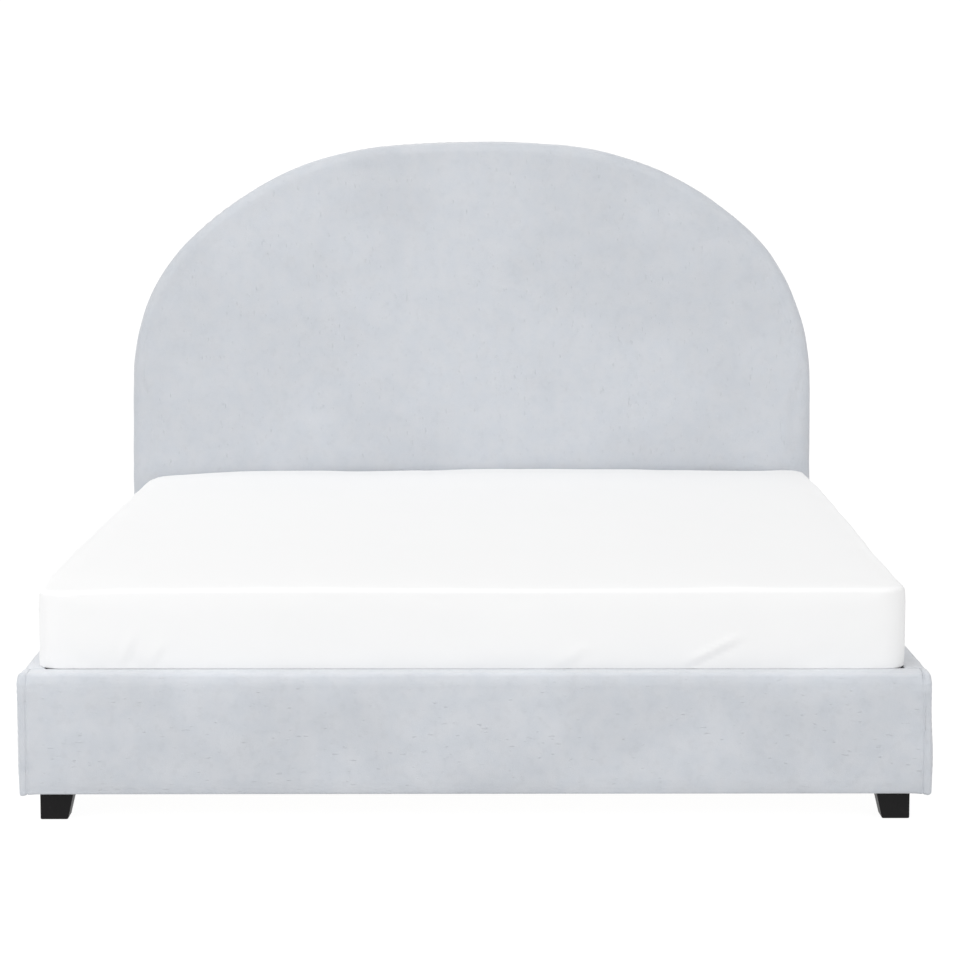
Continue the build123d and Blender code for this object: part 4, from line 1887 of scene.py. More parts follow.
@dataclass(frozen=True)
class Draw:
    """A stretch of one long side that is drawn to the right.

    Its place across is measured towards that side, and its place along runs from -1 at the foot
    end to 1 at the head end.
    """

    side: Side
    across: Span
    along: Span
    amount: float

    def at(self, points: np.ndarray, along: np.ndarray) -> np.ndarray:
        """How far each point is drawn."""
        near = soft_step(self.side.value * points[:, 0], *self.across)
        return self.amount * near * soft_step(along, *self.along)


@dataclass
class Mattress(SubAssembly):
    """The mattress and its fitted sheet."""

    width: float = 1.6
    length: float = 2.0
    side_height: float = 0.197
    crown: float = 0.004
    crown_run_x: float = 0.52
    crown_run_y: float = 0.25
    corner_radius: float = 0.044
    tuck: float = 0.024
    spread: float = 0.0045
    turn: float = math.radians(-0.3)
    rest_gap: float = 0.0002
    well_step: float = 0.004
    well_steps: int = 4
    well_clearance: float = 0.0012
    wall_rounding: float = 0.003
    fold_height: float = 0.002
    fold_depth: float = 0.0015
    fold_steps: int = 6
    shoulder_draw: float = 0.001
    shoulder_radius: float = 0.010
    shoulder_steps: int = 6
    side_steps: int = 10
    field_inset: float = 0.26
    field_radius: float = 0.13
    top_shares: Sequence[float] = (0.87, 0.75, 0.63, 0.51, 0.40, 0.30, 0.21, 0.13, 0.07, 0.03)
    lean: float = 0.0055
    foot_push: float = 0.006
    foot_push_span: Span = (0.94, 0.99)
    bulge: Draw = Draw(Side.RIGHT, (0.70, 0.79), (0.9, 0.1), 0.008)
    draws: tuple[Draw, ...] = (
        Draw(Side.RIGHT, (0.55, 0.79), (-0.6, 0.5), 0.009),
        Draw(Side.LEFT, (0.70, 0.79), (-0.1, 0.5), 0.006),
    )
    draw_from: float = 0.05
    draw_full_share: float = 0.85
    out_below: float = 0.002
    out_above: float = 0.0003
    sags: tuple[Sag, ...] = (
        Sag((-0.78, -0.98), 0.10, 0.006),
        Sag((-0.80, 0.98), 0.16, 0.014),
        Sag((0.30, 0.85), 0.50, -0.003),
    )
    folds: tuple[Fold, ...] = (
        Fold((0.393, 0.008), (0.501, 0.064), 0.0065, 0.0040),
        Fold((0.162, 0.008), (0.213, 0.044), 0.008, 0.0026),
        Fold((-0.650, 0.008), (-0.628, 0.066), 0.008, 0.0028),
        Fold((-0.598, 0.012), (-0.570, 0.052), 0.008, 0.0022),
    )
    fold_band: float = 0.03
    ripples: tuple[Ripple, ...] = (Ripple(0.42, 0.0009, 31), Ripple(0.13, 0.0003, 32))
    loose_span: Span = (0.002, 0.03)
    hem: float = 0.12
    channel: float = 0.008
    hem_reaches: Sequence[float] = (0.003, 0.02, 0.045, 0.07, 0.095)
    gather_height: float = 0.0022
    gathers_along: float = 150.0
    gather_drift: float = 17.0
    gather_swing: float = 2.2
    gather_from: float = 0.02
    under_height: float = 0.004
    sheet_rows: int = 62
    sheet_columns: int = 108
    sheet_gap: float = 0.005
    body_rows: int = 46
    body_columns: int = 38
    body_reaches: Sequence[float] = (0.004, 0.02, 0.05, 0.09, 0.13, 0.17, 0.21)
    quilt_waves: float = 21.0
    quilt_depth: float = 0.004
    quilt_slack: float = 0.00005
    held_blend: float = 0.02
    cloth: ClothRun = ClothRun(
        pressure=0.5, slack=0.002, cap=0.0018, frames=16, stiffness=20, bending=2.0
    )

    def __post_init__(self) -> None:
        """Takes the mattress's place and the well's walls from the model."""
        low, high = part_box("fitted_sheet")
        self.middle = (low + high) / 2
        self.seat = low.z
        self.plan = RoundedRectangle(self.width, self.length, self.corner_radius)
        self.rail_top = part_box("footboard_cover")[1].z
        self.walls = (
            (0, 1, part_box("side_rail_cover_right")[0].x, self.wall_rounding),
            (0, -1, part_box("side_rail_cover_left")[1].x, self.wall_rounding),
            (1, 1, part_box("headboard_cover")[0].y, 0.0),
            (1, -1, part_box("footboard_cover")[1].y, self.wall_rounding),
        )

    def build(self, finishes: Finishes) -> Iterable[bpy.types.Object]:
        """Makes the mattress and the sheet."""
        yield self.body(finishes.ticking)
        yield self.sheet(finishes.sheet)

    def levels(self) -> list[tuple[float, float]]:
        """Draw-in and height of each loop from the shoulder down to the underside.

        Returns:
            The draw-in and the height of each loop.
        """
        shoulder_height = self.side_height - self.shoulder_radius
        found = []
        for step in range(self.shoulder_steps):
            turn = math.pi / 2 * (1 - step / self.shoulder_steps)
            draw = self.shoulder_draw + self.shoulder_radius * (1 - math.cos(turn))
            found.append((draw, shoulder_height + self.shoulder_radius * math.sin(turn)))
        line = self.rail_top + self.rest_gap - self.seat
        fold_top = line + self.fold_height
        for step in range(self.side_steps):
            drop = (fold_top - shoulder_height) * step / self.side_steps
            found.append((self.shoulder_draw, shoulder_height + drop))
        for step in range(self.fold_steps + 1):
            turn = math.pi / 2 * step / self.fold_steps
            draw = self.shoulder_draw + self.fold_depth * (1 - math.cos(turn))
            found.append((draw, fold_top - self.fold_height * math.sin(turn)))
        start = self.shoulder_draw + self.fold_depth
        found.append((start, line - self.well_step))
        for step in range(1, self.well_steps):
            share = step / self.well_steps
            found.append((start + (self.tuck - start) * share * share, line * (1 - share)))
        return [(draw - self.spread, height) for draw, height in found]

    def placed(self, plan: np.ndarray, height: np.ndarray | float) -> np.ndarray:
        """Points of a plan in the model, turned as the mattress lies.

        Args:
            plan: The plan's points.
            height: Their heights over the mattress's seat.

        Returns:
            The points in the model.
        """
        cos, sin = math.cos(self.turn), math.sin(self.turn)
        x = self.middle.x + plan[:, 0] * cos - plan[:, 1] * sin
        y = self.middle.y + plan[:, 0] * sin + plan[:, 1] * cos
        z = self.seat + np.zeros(len(plan)) + height
        return np.stack([x, y, z], axis=1)

    def crown_height(self, plan: np.ndarray) -> np.ndarray:
        """Heights of the crowned top at points of the plan.

        Args:
            plan: The plan's points.

        Returns:
            Their heights over the seat.
        """
        shoulder = self.shoulder_draw + self.shoulder_radius
        rise = np.ones(len(plan))
        for axis, size, run in (
            (0, self.width, self.crown_run_x),
            (1, self.length, self.crown_run_y),
        ):
            share = np.clip((size / 2 - np.abs(plan[:, axis]) - shoulder) / run, 0, 1)
            rise = rise * (1 - (1 - share) ** 2)
        return self.side_height + self.crown * rise

    def form(self, rows: int, columns: int, inside: float, hem: Sequence[float]) -> tuple:
        """The field and the loops of a form inside the sheet's outer face.

        Args:
            rows: Rows of the top field.
            columns: Columns of the top field.
            inside: How far inside the outer face the form lies.
            hem: How far past the tuck each loop under the mattress reaches.

        Returns:
            The field's points, and the loops.
        """
        edges = self.plan.edges(columns, rows, self.field_inset, self.field_radius)
        plan = blended_field(*edges)
        top = self.placed(plan, self.crown_height(plan) - inside)
        loops = []
        shoulder = self.shoulder_draw + self.shoulder_radius - self.spread
        corner = self.corner_radius - shoulder
        for share in self.top_shares:
            inset = shoulder + (self.field_inset - shoulder) * share
            radius = corner + (self.field_radius - corner) * share
            loop = rim_loop(self.plan.edges(columns, rows, inset, radius))
            loops.append(self.placed(loop, self.crown_height(loop) - inside))
        under = [(self.tuck + reach, 0.0) for reach in hem]
        for draw, height in self.levels() + under:
            loop = self.plan.loop(columns, rows, draw + inside)
            level = min(max(height, inside), self.side_height - inside)
            loops.append(self.placed(loop, level))
        return top, loops

    def kept_in_well(self, points: np.ndarray, clearance: float) -> np.ndarray:
        """Points pressed back behind the rails' and boards' rounded inner edges.

        Args:
            points: Points in the model.
            clearance: How far they stay from the edges.

        Returns:
            The pressed points.
        """
        kept = points.copy()
        height = points[:, 2]
        for axis, sign, wall, radius in self.walls:
            up = np.clip(height - (self.rail_top - radius), 0, radius)
            limit = wall + sign * (radius - np.sqrt(radius**2 - up**2) - clearance)
            beyond = (kept[:, axis] - limit) * sign > 0
            inside = (height < self.rail_top) | (radius == 0.0)
            kept[:, axis] = np.where(beyond & inside, limit, kept[:, axis])
        return kept

    def unevenness(self, points: np.ndarray) -> np.ndarray:
        """The mattress's soft unevenness above the rails, which the sheet follows."""
        return rippled(points, self.ripples) * soft_step(points[:, 2] - self.rail_top, *self.loose_span)

    def leaning(self, points: np.ndarray) -> np.ndarray:
        """Points with the top pushed a little to the left at the foot and right at the head.

        Args:
            points: Points in the model.

        Returns:
            The moved points.
        """
        height = points[:, 2] - self.seat
        above = soft_step(height, self.draw_from, self.side_height * self.draw_full_share)
        out = soft_step(points[:, 2] - self.rail_top, -self.out_below, self.out_above)
        along = (points[:, 1] - self.middle.y) / (self.length / 2)
        moved = points.copy()
        moved[:, 0] += (self.lean * along + self.bulge.at(points, along)) * out
        moved[:, 1] -= self.foot_push * out * soft_step(-along, *self.foot_push_span)
        for draw in self.draws:
            moved[:, 0] += draw.at(points, along) * above
        for sag in self.sags:
            moved[:, 2] -= sag.at(points) * above
        return moved

    def body(self, finish: Finish) -> bpy.types.Object:
        """The mattress itself, whose quilted underside shows between the slats.

        Args:
            finish: The ticking.

        Returns:
            The mattress.
        """
        rows, columns = self.body_rows, self.body_columns
        top, loops = self.form(rows, columns, self.sheet_gap, self.body_reaches)
        edges = self.plan.edges(columns, rows, self.field_inset, self.field_radius)
        bottom = self.placed(blended_field(*edges), self.sheet_gap)
        points, faces = Panel(rows, columns).assemble(top, loops, bottom)
        mesh = closed_mesh("mattress_body", points, faces)
        piece = new_piece("mattress_body", mesh, finish)
        subdivided(piece)
        shaped = points_of(piece.data)
        uneven = self.unevenness(shaped)
        shaped = self.leaning(shaped + normals_of(piece.data) * uneven[:, None])
        shaped = self.kept_in_well(shaped, self.well_clearance + self.sheet_gap)
        below = shaped[:, 2] < self.seat + self.sheet_gap + self.quilt_slack
        first = (shaped[:, 0] + shaped[:, 1]) * self.quilt_waves
        second = (shaped[:, 0] - shaped[:, 1]) * self.quilt_waves
        quilting = np.sqrt(np.abs(np.sin(first) * np.sin(second)))
        shaped[:, 2] += np.where(below, self.quilt_depth * (1 - quilting), 0)
        set_points(piece.data, shaped)
        declared(piece, "mattress", "mattress_foam", "mattress_core", "mattress_comfort_layer")
        return piece

    def sheet(self, finish: Finish) -> bpy.types.Object:
        """The fitted sheet, settled over the mattress and gathered underneath.

        Args:
            finish: The sheet's cotton.

        Returns:
            The sheet.
        """
        rows, columns = self.sheet_rows, self.sheet_columns
        reaches = [*self.hem_reaches, self.hem - self.channel]
        top, loops = self.form(rows, columns, 0.0, reaches)
        points, faces = Panel(rows, columns).assemble(top, loops)
        mesh = bpy.data.meshes.new("fitted_bed_sheet")
        mesh.from_pydata([tuple(point) for point in points], [], faces)
        piece = new_piece("fitted_bed_sheet", mesh, finish)
        start = points_of(mesh)
        low = self.rail_top + self.fold_height
        self.cloth.settle(piece, 1 - soft_step(start[:, 2], low, low + self.held_blend))
        subdivided(piece)
        self.finish_sheet(piece.data)
        declared(piece, "mattress", "sheet_cotton", "fitted_sheet")
        return piece

    def finish_sheet(self, mesh: bpy.types.Mesh) -> None:
        """Adds the folds seen on the foot end, soft unevenness and the gathers of the hem.

        Args:
            mesh: The sheet's mesh.
        """
        points = points_of(mesh)
        normals = normals_of(mesh)
        lift = self.unevenness(points)
        foot = points[:, 1] < self.middle.y - self.length / 2 + self.fold_band
        facing = np.clip(-normals[:, 1], 0, 1) * foot
        for fold in self.folds:
            lift += fold.at(points[:, 0], points[:, 2] - self.rail_top) * facing
        moved = self.leaning(points + normals * lift[:, None])
        under = (points[:, 2] - self.seat < self.under_height) & (normals[:, 2] < -0.5)
        from_x = self.width / 2 - np.abs(points[:, 0] - self.middle.x)
        from_y = self.length / 2 - np.abs(points[:, 1] - self.middle.y)
        reach = np.minimum(from_x, from_y) - self.tuck
        around = np.where(from_x < from_y, points[:, 1], points[:, 0])
        drift = self.gather_swing * np.sin(around * self.gather_drift)
        gather = 0.5 + 0.5 * np.sin(around * self.gathers_along + drift)
        rise = self.gather_height * gather * soft_step(reach, self.gather_from, self.hem)
        moved[:, 2] += np.where(under, rise, 0)
        set_points(mesh, self.kept_in_well(moved, self.well_clearance))


@dataclass
class BlockFoot(SubAssembly):
    """A tapered block foot: the two outer sides stand upright and the two inner ones taper."""

    side: Side
    end: End
    top_width: float = 0.062
    bottom_width: float = 0.051
    ease: float = 0.0026

    def build(self, finishes: Finishes) -> Iterable[bpy.types.Object]:
        """Makes the foot from its taper.

        Args:
            finishes: The bed's finishes.

        Returns:
            The finished pieces.
        """
        name = f"block_foot_{self.end.name.lower()}_{self.side.name.lower()}"
        low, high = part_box(name)
        sizes = {
            "Top width": self.top_width,
            "Bottom width": self.bottom_width,
            "Height": high.z - low.z,
            "Outer X": (high if self.side is Side.RIGHT else low).x,
            "Outer Y": (high if self.end is End.HEAD else low).y,
            "Side": float(self.side.value),
            "End": float(self.end.value),
        }
        recipe = Recipe("tapered_block", sizes)
        counts = {"Vertices X": 4, "Vertices Y": 4, "Vertices Z": 4}
        cube = recipe.shape("Cube", {"Size": (1.0, 1.0, 1.0), **counts})
        x, y, z = recipe.split(recipe.node("GeometryNodeInputPosition").outputs[0])
        rise = recipe.math("ADD", z, 0.5)
        spread = recipe.math("SUBTRACT", recipe.size("Top width"), recipe.size("Bottom width"))
        width = recipe.math("MULTIPLY_ADD", spread, rise, recipe.size("Bottom width"))
        parts = []
        for local, outer, sign in ((x, "Outer X", "Side"), (y, "Outer Y", "End")):
            from_outer = recipe.math("MULTIPLY", width, recipe.size(sign))
            centre = recipe.math("MULTIPLY_ADD", from_outer, -0.5, recipe.size(outer))
            parts.append(recipe.math("MULTIPLY_ADD", local, width, centre))
        height = recipe.math("MULTIPLY", rise, recipe.size("Height"))
        inputs = {"Geometry": cube, "Position": recipe.join(*parts, height)}
        shape = recipe.node("GeometryNodeSetPosition", inputs).outputs[0]
        piece = eased(recipe.bake(f"{name}_block", shape, finishes.feet), self.ease, 3)
        declared(piece, "frame", "black_wood", name)
        yield piece


@dataclass
class SlattedBase(SubAssembly):
    """Bowed slats in their caps, the centre beam, its hangers, its legs and their glides."""

    rows: int = 14
    thickness: float = 0.008
    bow: float = 0.006
    bow_steps: int = 25
    slat_ease: float = 0.0022
    beam_ease: float = 0.002
    steel_ease: float = 0.0006
    plastic_ease: float = 0.0007
    leg_count: int = 3

    def build(self, finishes: Finishes) -> Iterable[bpy.types.Object]:
        """Makes the slats and the eased pieces round them.

        Args:
            finishes: The bed's finishes.

        Returns:
            The finished pieces.
        """
        yield self.slats(finishes.slat)
        for caps in ("slat_caps_outer", "slat_caps_centre"):
            yield eased_copy(caps, finishes.caps, self.plastic_ease, "frame", "cap_plastic")
        yield eased_copy("centre_beam", finishes.lengthwise, self.beam_ease, "frame", "timber")
        for end in End:
            hanger = f"beam_hanger_{end.name.lower()}"
            yield eased_copy(hanger, finishes.zinc, self.steel_ease, "frame", "zinc_steel")
        for number in range(1, self.leg_count + 1):
            leg = f"centre_leg_{number}"
            yield eased_copy(leg, finishes.powder, self.steel_ease, "frame", "black_steel")
            glide, body = f"centre_glide_{number}", f"glide_{number}"
            yield eased_copy(glide, finishes.glides, self.plastic_ease, body, "glide_plastic")

    def slats(self, finish: Finish) -> bpy.types.Object:
        """Two slats in each row, bent up to their bow.

        Args:
            finish: The slats' timber.

        Returns:
            The slats.
        """
        first_low, first_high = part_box("slat_row_01")
        last_low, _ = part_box(f"slat_row_{self.rows:02d}")
        inner = self.inner_end()
        sizes = {
            "Slat length": first_high.x - inner,
            "Slat width": first_high.y - first_low.y,
            "Thickness": self.thickness,
            "Bow": self.bow,
            "Rows": self.rows,
            "Pitch": (last_low.y - first_low.y) / (self.rows - 1),
            "Middle X": (first_high.x + inner) / 2,
            "First Y": (first_low.y + first_high.y) / 2,
            "Seat Z": first_low.z,
        }
        recipe = Recipe("bowed_slats", sizes)
        size = recipe.join(*[recipe.size(label) for label in ("Slat length", "Slat width", "Thickness")])
        counts = {"Vertices X": self.bow_steps, "Vertices Y": 2, "Vertices Z": 2}
        blank = recipe.shape("Cube", {"Size": size, **counts})
        x, _, _ = recipe.split(recipe.node("GeometryNodeInputPosition").outputs[0])
        share = recipe.math("DIVIDE", recipe.math("MULTIPLY", x, 2.0), recipe.size("Slat length"))
        fall = recipe.math("SUBTRACT", 1.0, recipe.math("MULTIPLY", share, share))
        half = recipe.math("MULTIPLY", recipe.size("Thickness"), 0.5)
        lift = recipe.math("MULTIPLY_ADD", fall, recipe.size("Bow"), half)
        slat = recipe.raised(blank, lift)
        lines = []
        for sign in (-1.0, 1.0):
            middle = recipe.math("MULTIPLY", recipe.size("Middle X"), sign)
            inputs = {
                "Count": recipe.size("Rows"),
                "Start Location": recipe.join(middle, recipe.size("First Y"), recipe.size("Seat Z")),
                "Offset": recipe.join(0.0, recipe.size("Pitch"), 0.0),
            }
            lines.append(recipe.shape("Line", inputs, mode="OFFSET"))
        spread = recipe.spread(slat, recipe.gathered(*lines))
        piece = eased(recipe.bake("bowed_slats", spread, finish), self.slat_ease, 3)
        rows = [f"slat_row_{row:02d}" for row in range(1, self.rows + 1)]
        declared(piece, "frame", "slat_birch", *rows)
        return piece

    @staticmethod
    def inner_end() -> float:
        """Where the slats on the right begin beside the centre caps' middle walls."""
        points = points_of(bpy.data.objects["slat_row_01"].data)
        return float(points[points[:, 0] > 0, 0].min())


@dataclass
class Fastener:
    """A round-headed fastener with a socket in its head."""

    head_radius: float
    head_height: float
    shank_radius: float
    shank_length: float
    socket_radius: float
    socket_sides: int = 6
    head_sides: int = 32
    shank_sides: int = 16
    ease: float = 0.0008

    def placed(
        self, name: str, places: Sequence[Vector], facing: Sequence[Vector], finish: Finish
    ) -> bpy.types.Object:
        """Sets the fasteners at their places.

        Args:
            name: The piece's name.
            places: Where each head meets what it holds.
            facing: The way that each head faces.
            finish: The metal's finish.

        Returns:
            The piece.
        """
        base = bpy.data.meshes.new(name)
        base.from_pydata([tuple(place) for place in places], [], [])
        ways = np.array([tuple(way) for way in facing], np.float32)
        attribute = base.attributes.new("facing", "FLOAT_VECTOR", "POINT")
        attribute.data.foreach_set("vector", ways.ravel())
        sizes = {
            "Head radius": self.head_radius,
            "Head height": self.head_height,
            "Head sides": self.head_sides,
            "Shank radius": self.shank_radius,
            "Shank length": self.shank_length,
            "Shank sides": self.shank_sides,
            "Socket radius": self.socket_radius,
            "Socket sides": self.socket_sides,
        }
        recipe = Recipe("fastener", sizes)
        head = self.rod(recipe, "Head", "Head height")
        socket = self.rod(recipe, "Socket", "Head height")
        half = recipe.math("MULTIPLY", recipe.size("Head height"), 0.5)
        inputs = {0: head, 1: recipe.raised(socket, half)}
        cut = recipe.node("GeometryNodeMeshBoolean", inputs, operation="DIFFERENCE").outputs[0]
        head = recipe.raised(cut, half)
        shank = self.rod(recipe, "Shank", "Shank length")
        shank = recipe.raised(shank, recipe.math("MULTIPLY", recipe.size("Shank length"), -0.5))
        named = recipe.node(
            "GeometryNodeInputNamedAttribute", {0: "facing"}, data_type="FLOAT_VECTOR"
        )
        inputs = {"Vector": named.outputs[0]}
        turn = recipe.node("FunctionNodeAlignRotationToVector", inputs, axis="Z").outputs[0]
        spread = recipe.spread(recipe.gathered(head, shank), recipe.incoming, turn)
        return eased(recipe.bake(name, spread, finish, base), self.ease)

    @staticmethod
    def rod(recipe: Recipe, part: str, depth: str) -> Socket:
        """A cylinder with the recipe's sides and radius of a part, and a depth.

        Args:
            recipe: The recipe.
            part: The part's name, as it begins its sizes' names.
            depth: The name of the size that is the cylinder's length.

        Returns:
            The cylinder.
        """
        inputs = {
            "Vertices": recipe.size(f"{part} sides"),
            "Radius": recipe.size(f"{part} radius"),
            "Depth": recipe.size(depth),
        }
        return recipe.shape("Cylinder", inputs)


@dataclass
class Fittings(SubAssembly):
    """Corner brackets with their bolts, the wood screws and the feet's studs."""

    bracket_ease: float = 0.0008
    bolt: Fastener = field(default_factory=lambda: Fastener(0.007, 0.005, 0.004, 0.03, 0.003))
    screw: Fastener = field(default_factory=lambda: Fastener(0.005, 0.003, 0.0025, 0.02, 0.0022, 4))
    rim_share: float = 0.99

    def build(self, finishes: Finishes) -> Iterable[bpy.types.Object]:
        """Makes the fittings.

        Args:
            finishes: The bed's finishes.

        Returns:
            The finished pieces.
        """
        for end in End:
            for side in Side:
                bracket = f"corner_bracket_{end.name.lower()}_{side.name.lower()}"
                yield eased_copy(bracket, finishes.zinc, self.bracket_ease, "frame", "zinc_steel")
        for node, kind, name in (
            ("corner_bolts", self.bolt, "socket_bolts"),
            ("wood_screws", self.screw, "round_head_screws"),
        ):
            heads = [self.head(island, kind.head_height) for island in self.islands(node)]
            places, facing = zip(*heads)
            piece = kind.placed(name, places, facing, finishes.zinc)
            declared(piece, "frame", "zinc_steel", node)
            yield piece
        yield carried_over("foot_studs", finishes.zinc)

    @staticmethod
    def islands(node: str) -> list[list[Vector]]:
        """The points of each separate fastener of a node, in the same order each run.

        Args:
            node: A node of separate fasteners.

        Returns:
            The points, one list for each fastener.
        """
        work = bmesh.new()
        work.from_mesh(bpy.data.objects[node].data)
        bmesh.ops.remove_doubles(work, verts=work.verts, dist=WELD)
        left = dict.fromkeys(work.verts)
        found = []
        while left:
            edge = [left.popitem()[0]]
            island = []
            while edge:
                vert = edge.pop()
                island.append(vert.co.copy())
                for link in vert.link_edges:
                    other = link.other_vert(vert)
                    if other in left:
                        del left[other]
                        edge.append(other)
            found.append(island)
        work.free()
        return found

    def head(self, island: Sequence[Vector], head_height: float) -> tuple[Vector, Vector]:
        """Where a fastener has its head's seat, and which way it faces.

        Args:
            island: The fastener's points.
            head_height: How thick its head is.

        Returns:
            The seat, and the way that the head faces.
        """
        low = Vector([min(point[axis] for point in island) for axis in range(3)])
        high = Vector([max(point[axis] for point in island) for axis in range(3)])
        size = high - low
        axis = max(range(3), key=lambda number: size[number])
        seat = (low + high) / 2
        across = (axis + 1) % 3
        reach = [abs(point[across] - seat[across]) for point in island]
        widest = max(reach) * self.rim_share
        rim = [point[axis] for point, out in zip(island, reach) if out > widest]
        sign = 1.0 if sum(rim) / len(rim) > seat[axis] else -1.0
        seat[axis] = (high[axis] if sign > 0 else low[axis]) - sign * head_height
        way = Vector((0.0, 0.0, 0.0))
        way[axis] = sign
        return seat, way


@dataclass(frozen=True)
class SquareLamp:
    """A soft square lamp that points at a place; its power is in watts."""

    name: str
    place: tuple[float, float, float]
    aim: tuple[float, float, float]
    size: float
    power: float

    def build(self) -> None:
        """Sets up the lamp."""
        data = bpy.data.lights.new(self.name, "AREA")
        data.size = self.size
        data.energy = self.power
        aimed(data, Vector(self.place), Vector(self.aim) - Vector(self.place))


@dataclass(frozen=True)
class BroadLight:
    """A broad, even light that comes from a place as seen from the bed; its angle is in degrees."""

    name: str
    source: tuple[float, float, float]
    angle: float
    strength: float

    def build(self) -> None:
        """Sets up the light."""
        data = bpy.data.lights.new(self.name, "SUN")
        data.angle = math.radians(self.angle)
        data.energy = self.strength
        aimed(data, Vector(self.source), -Vector(self.source))


def aimed(data: bpy.types.Light, place: Vector, way: Vector) -> None:
    """Links a light into the scene at a place, shining one way.

    Args:
        data: The light.
        place: Where it stands.
        way: The way that it shines.
    """
    lamp = bpy.data.objects.new(data.name, data)
    bpy.context.scene.collection.objects.link(lamp)
    lamp.location = place
    lamp.rotation_euler = way.to_track_quat("-Z", "Y").to_euler()


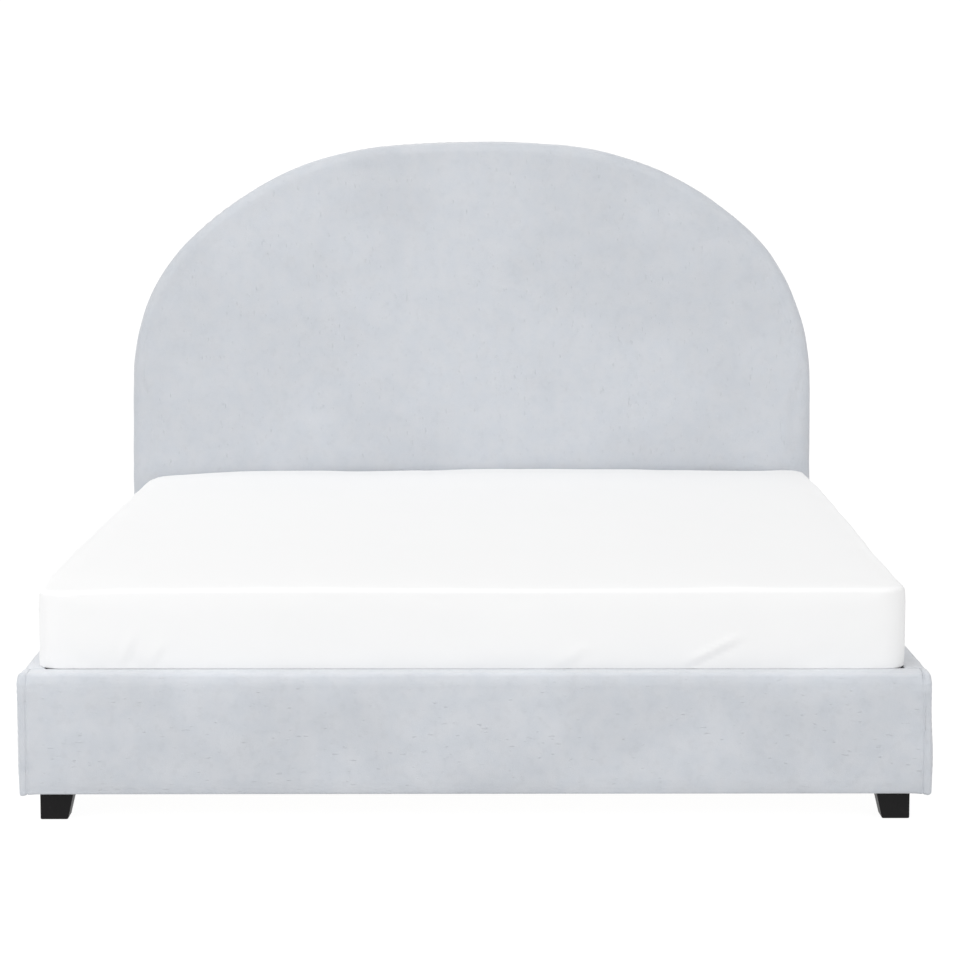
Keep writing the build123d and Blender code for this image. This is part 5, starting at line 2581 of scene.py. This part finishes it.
@dataclass
class Studio:
    """The floor, the lights and the camera at the photograph's viewing angle."""

    camera_place: tuple[float, float, float] = (-0.0228, -6.7182, 1.2663)
    camera_tilt: float = math.radians(90 - 6.4063)
    camera_turn: float = math.radians(-0.3194)
    lens: float = 116.806
    sensor_width: float = 36.0
    far_clip: float = 100.0
    floor_size: float = 60.0
    floor_tone: Colour = seen_colour(250, 250, 250)
    white: Colour = (1.0, 1.0, 1.0, 1.0)
    shadow_share: float = 0.12
    bounce_share: float = 0.45
    bounce: float = 0.64
    ambient: float = 0.765
    flag_way: tuple[float, float, float] = (0.8, 0.55, 0.2)
    flag_span: Span = (0.1, 0.9)
    flag_shade: float = 0.5
    backdrop: float = 1.09
    lights: tuple[BroadLight | SquareLamp, ...] = (
        BroadLight("overhead", (-1.6, -0.5, 3.6), 60.0, 0.80),
        BroadLight("right_fill", (3.5, -5.0, 2.4), 50.0, 0.58),
        SquareLamp("left_key", (-3.4, -4.2, 1.9), (0.0, 0.0, 0.5), 2.6, 15.0),
        SquareLamp("head_key", (-2.4, -1.2, 2.4), (0.0, 1.0, 0.8), 1.2, 4.5),
    )

    def build(self) -> None:
        """Sets up everything that isn't the bed."""
        self.world()
        self.floor()
        self.camera()
        for light in self.lights:
            light.build()
        bpy.context.scene.view_settings.view_transform = "Standard"

    @staticmethod
    def empty_graph(owner: bpy.types.World | bpy.types.Material) -> Graph:
        """The cleared node tree of a world or a material.

        Args:
            owner: The world or the material.

        Returns:
            Its node tree.
        """
        owner.use_nodes = True
        owner.node_tree.nodes.clear()
        return Graph(owner.node_tree)

    @staticmethod
    def seen_directly(graph: Graph) -> Socket:
        """1 for a ray that shows the surface itself or its image in gloss or glass.

        Args:
            graph: The tree that asks.

        Returns:
            1 or 0.
        """
        path = graph.node("ShaderNodeLightPath").outputs
        shown = graph.math("MAXIMUM", path["Is Camera Ray"], path["Is Glossy Ray"])
        return graph.math("MAXIMUM", shown, path["Is Transmission Ray"])

    def world(self) -> None:
        """A white surround, darker towards a flag behind the bed's right side, that shows as white."""
        world = bpy.data.worlds.new("studio")
        bpy.context.scene.world = world
        graph = self.empty_graph(world)
        way = graph.node("ShaderNodeTexCoord").outputs["Generated"]
        flag = Vector(self.flag_way).normalized()
        towards = graph.node("ShaderNodeVectorMath", {0: way, 1: flag}, operation="DOT_PRODUCT")
        ends = (self.ambient, self.ambient * (1 - self.flag_shade))
        strength = graph.ramp(towards.outputs["Value"], self.flag_span, ends)
        light = graph.node("ShaderNodeBackground", {"Color": self.white, "Strength": strength})
        shown = graph.node("ShaderNodeBackground", {"Color": self.white, "Strength": self.backdrop})
        inputs = {0: self.seen_directly(graph), 1: light.outputs[0], 2: shown.outputs[0]}
        mixed = graph.node("ShaderNodeMixShader", inputs)
        graph.node("ShaderNodeOutputWorld", {0: mixed.outputs[0]})

    def floor(self) -> None:
        """A pale floor that keeps a faint shadow of the bed."""
        half = self.floor_size / 2
        mesh = bpy.data.meshes.new("studio_floor")
        corners = [(-half, -half, 0), (half, -half, 0), (half, half, 0), (-half, half, 0)]
        mesh.from_pydata(corners, [], [(0, 1, 2, 3)])
        floor = bpy.data.objects.new("studio_floor", mesh)
        bpy.context.scene.collection.objects.link(floor)
        material = bpy.data.materials.new("pale_floor")
        graph = self.empty_graph(material)
        matte = graph.node("ShaderNodeBsdfDiffuse", {"Color": self.floor_tone})
        seen = self.seen_directly(graph)
        glow = graph.math("MULTIPLY_ADD", seen, self.backdrop - self.bounce, self.bounce)
        white = graph.node("ShaderNodeEmission", {"Color": self.white, "Strength": glow})
        seen_share = 1 - self.shadow_share
        share = graph.math("MULTIPLY_ADD", seen, seen_share - self.bounce_share, self.bounce_share)
        mixed = graph.node("ShaderNodeMixShader", {0: share, 1: matte.outputs[0], 2: white.outputs[0]})
        graph.node("ShaderNodeOutputMaterial", {0: mixed.outputs[0]})
        mesh.materials.append(material)

    def camera(self) -> None:
        """The camera that the photograph's edges were fitted with."""
        data = bpy.data.cameras.new("photo_camera")
        data.lens = self.lens
        data.sensor_width = self.sensor_width
        data.clip_end = self.far_clip
        camera = bpy.data.objects.new("photo_camera", data)
        bpy.context.scene.collection.objects.link(camera)
        camera.location = self.camera_place
        camera.rotation_euler = (self.camera_tilt, 0.0, self.camera_turn)
        bpy.context.scene.camera = camera


def main() -> None:
    """Builds the bed's sub-assemblies in order, then the studio round them."""
    logging.basicConfig(level=logging.INFO, format="%(message)s")
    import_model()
    finishes = Finishes()
    parts: list[Callable[[], SubAssembly]] = [Headboard, Footboard]
    parts += [lambda side=side: SideRail(side) for side in Side]
    parts += [lambda side=side, end=end: BlockFoot(side, end) for end in End for side in Side]
    parts += [SlattedBase, Fittings, Mattress]
    for part in parts:
        for piece in part().build(finishes):
            LOG.info("%s: %d faces", piece.name, len(piece.data.polygons))
    Studio().build()


if __name__ == "__main__":
    main()
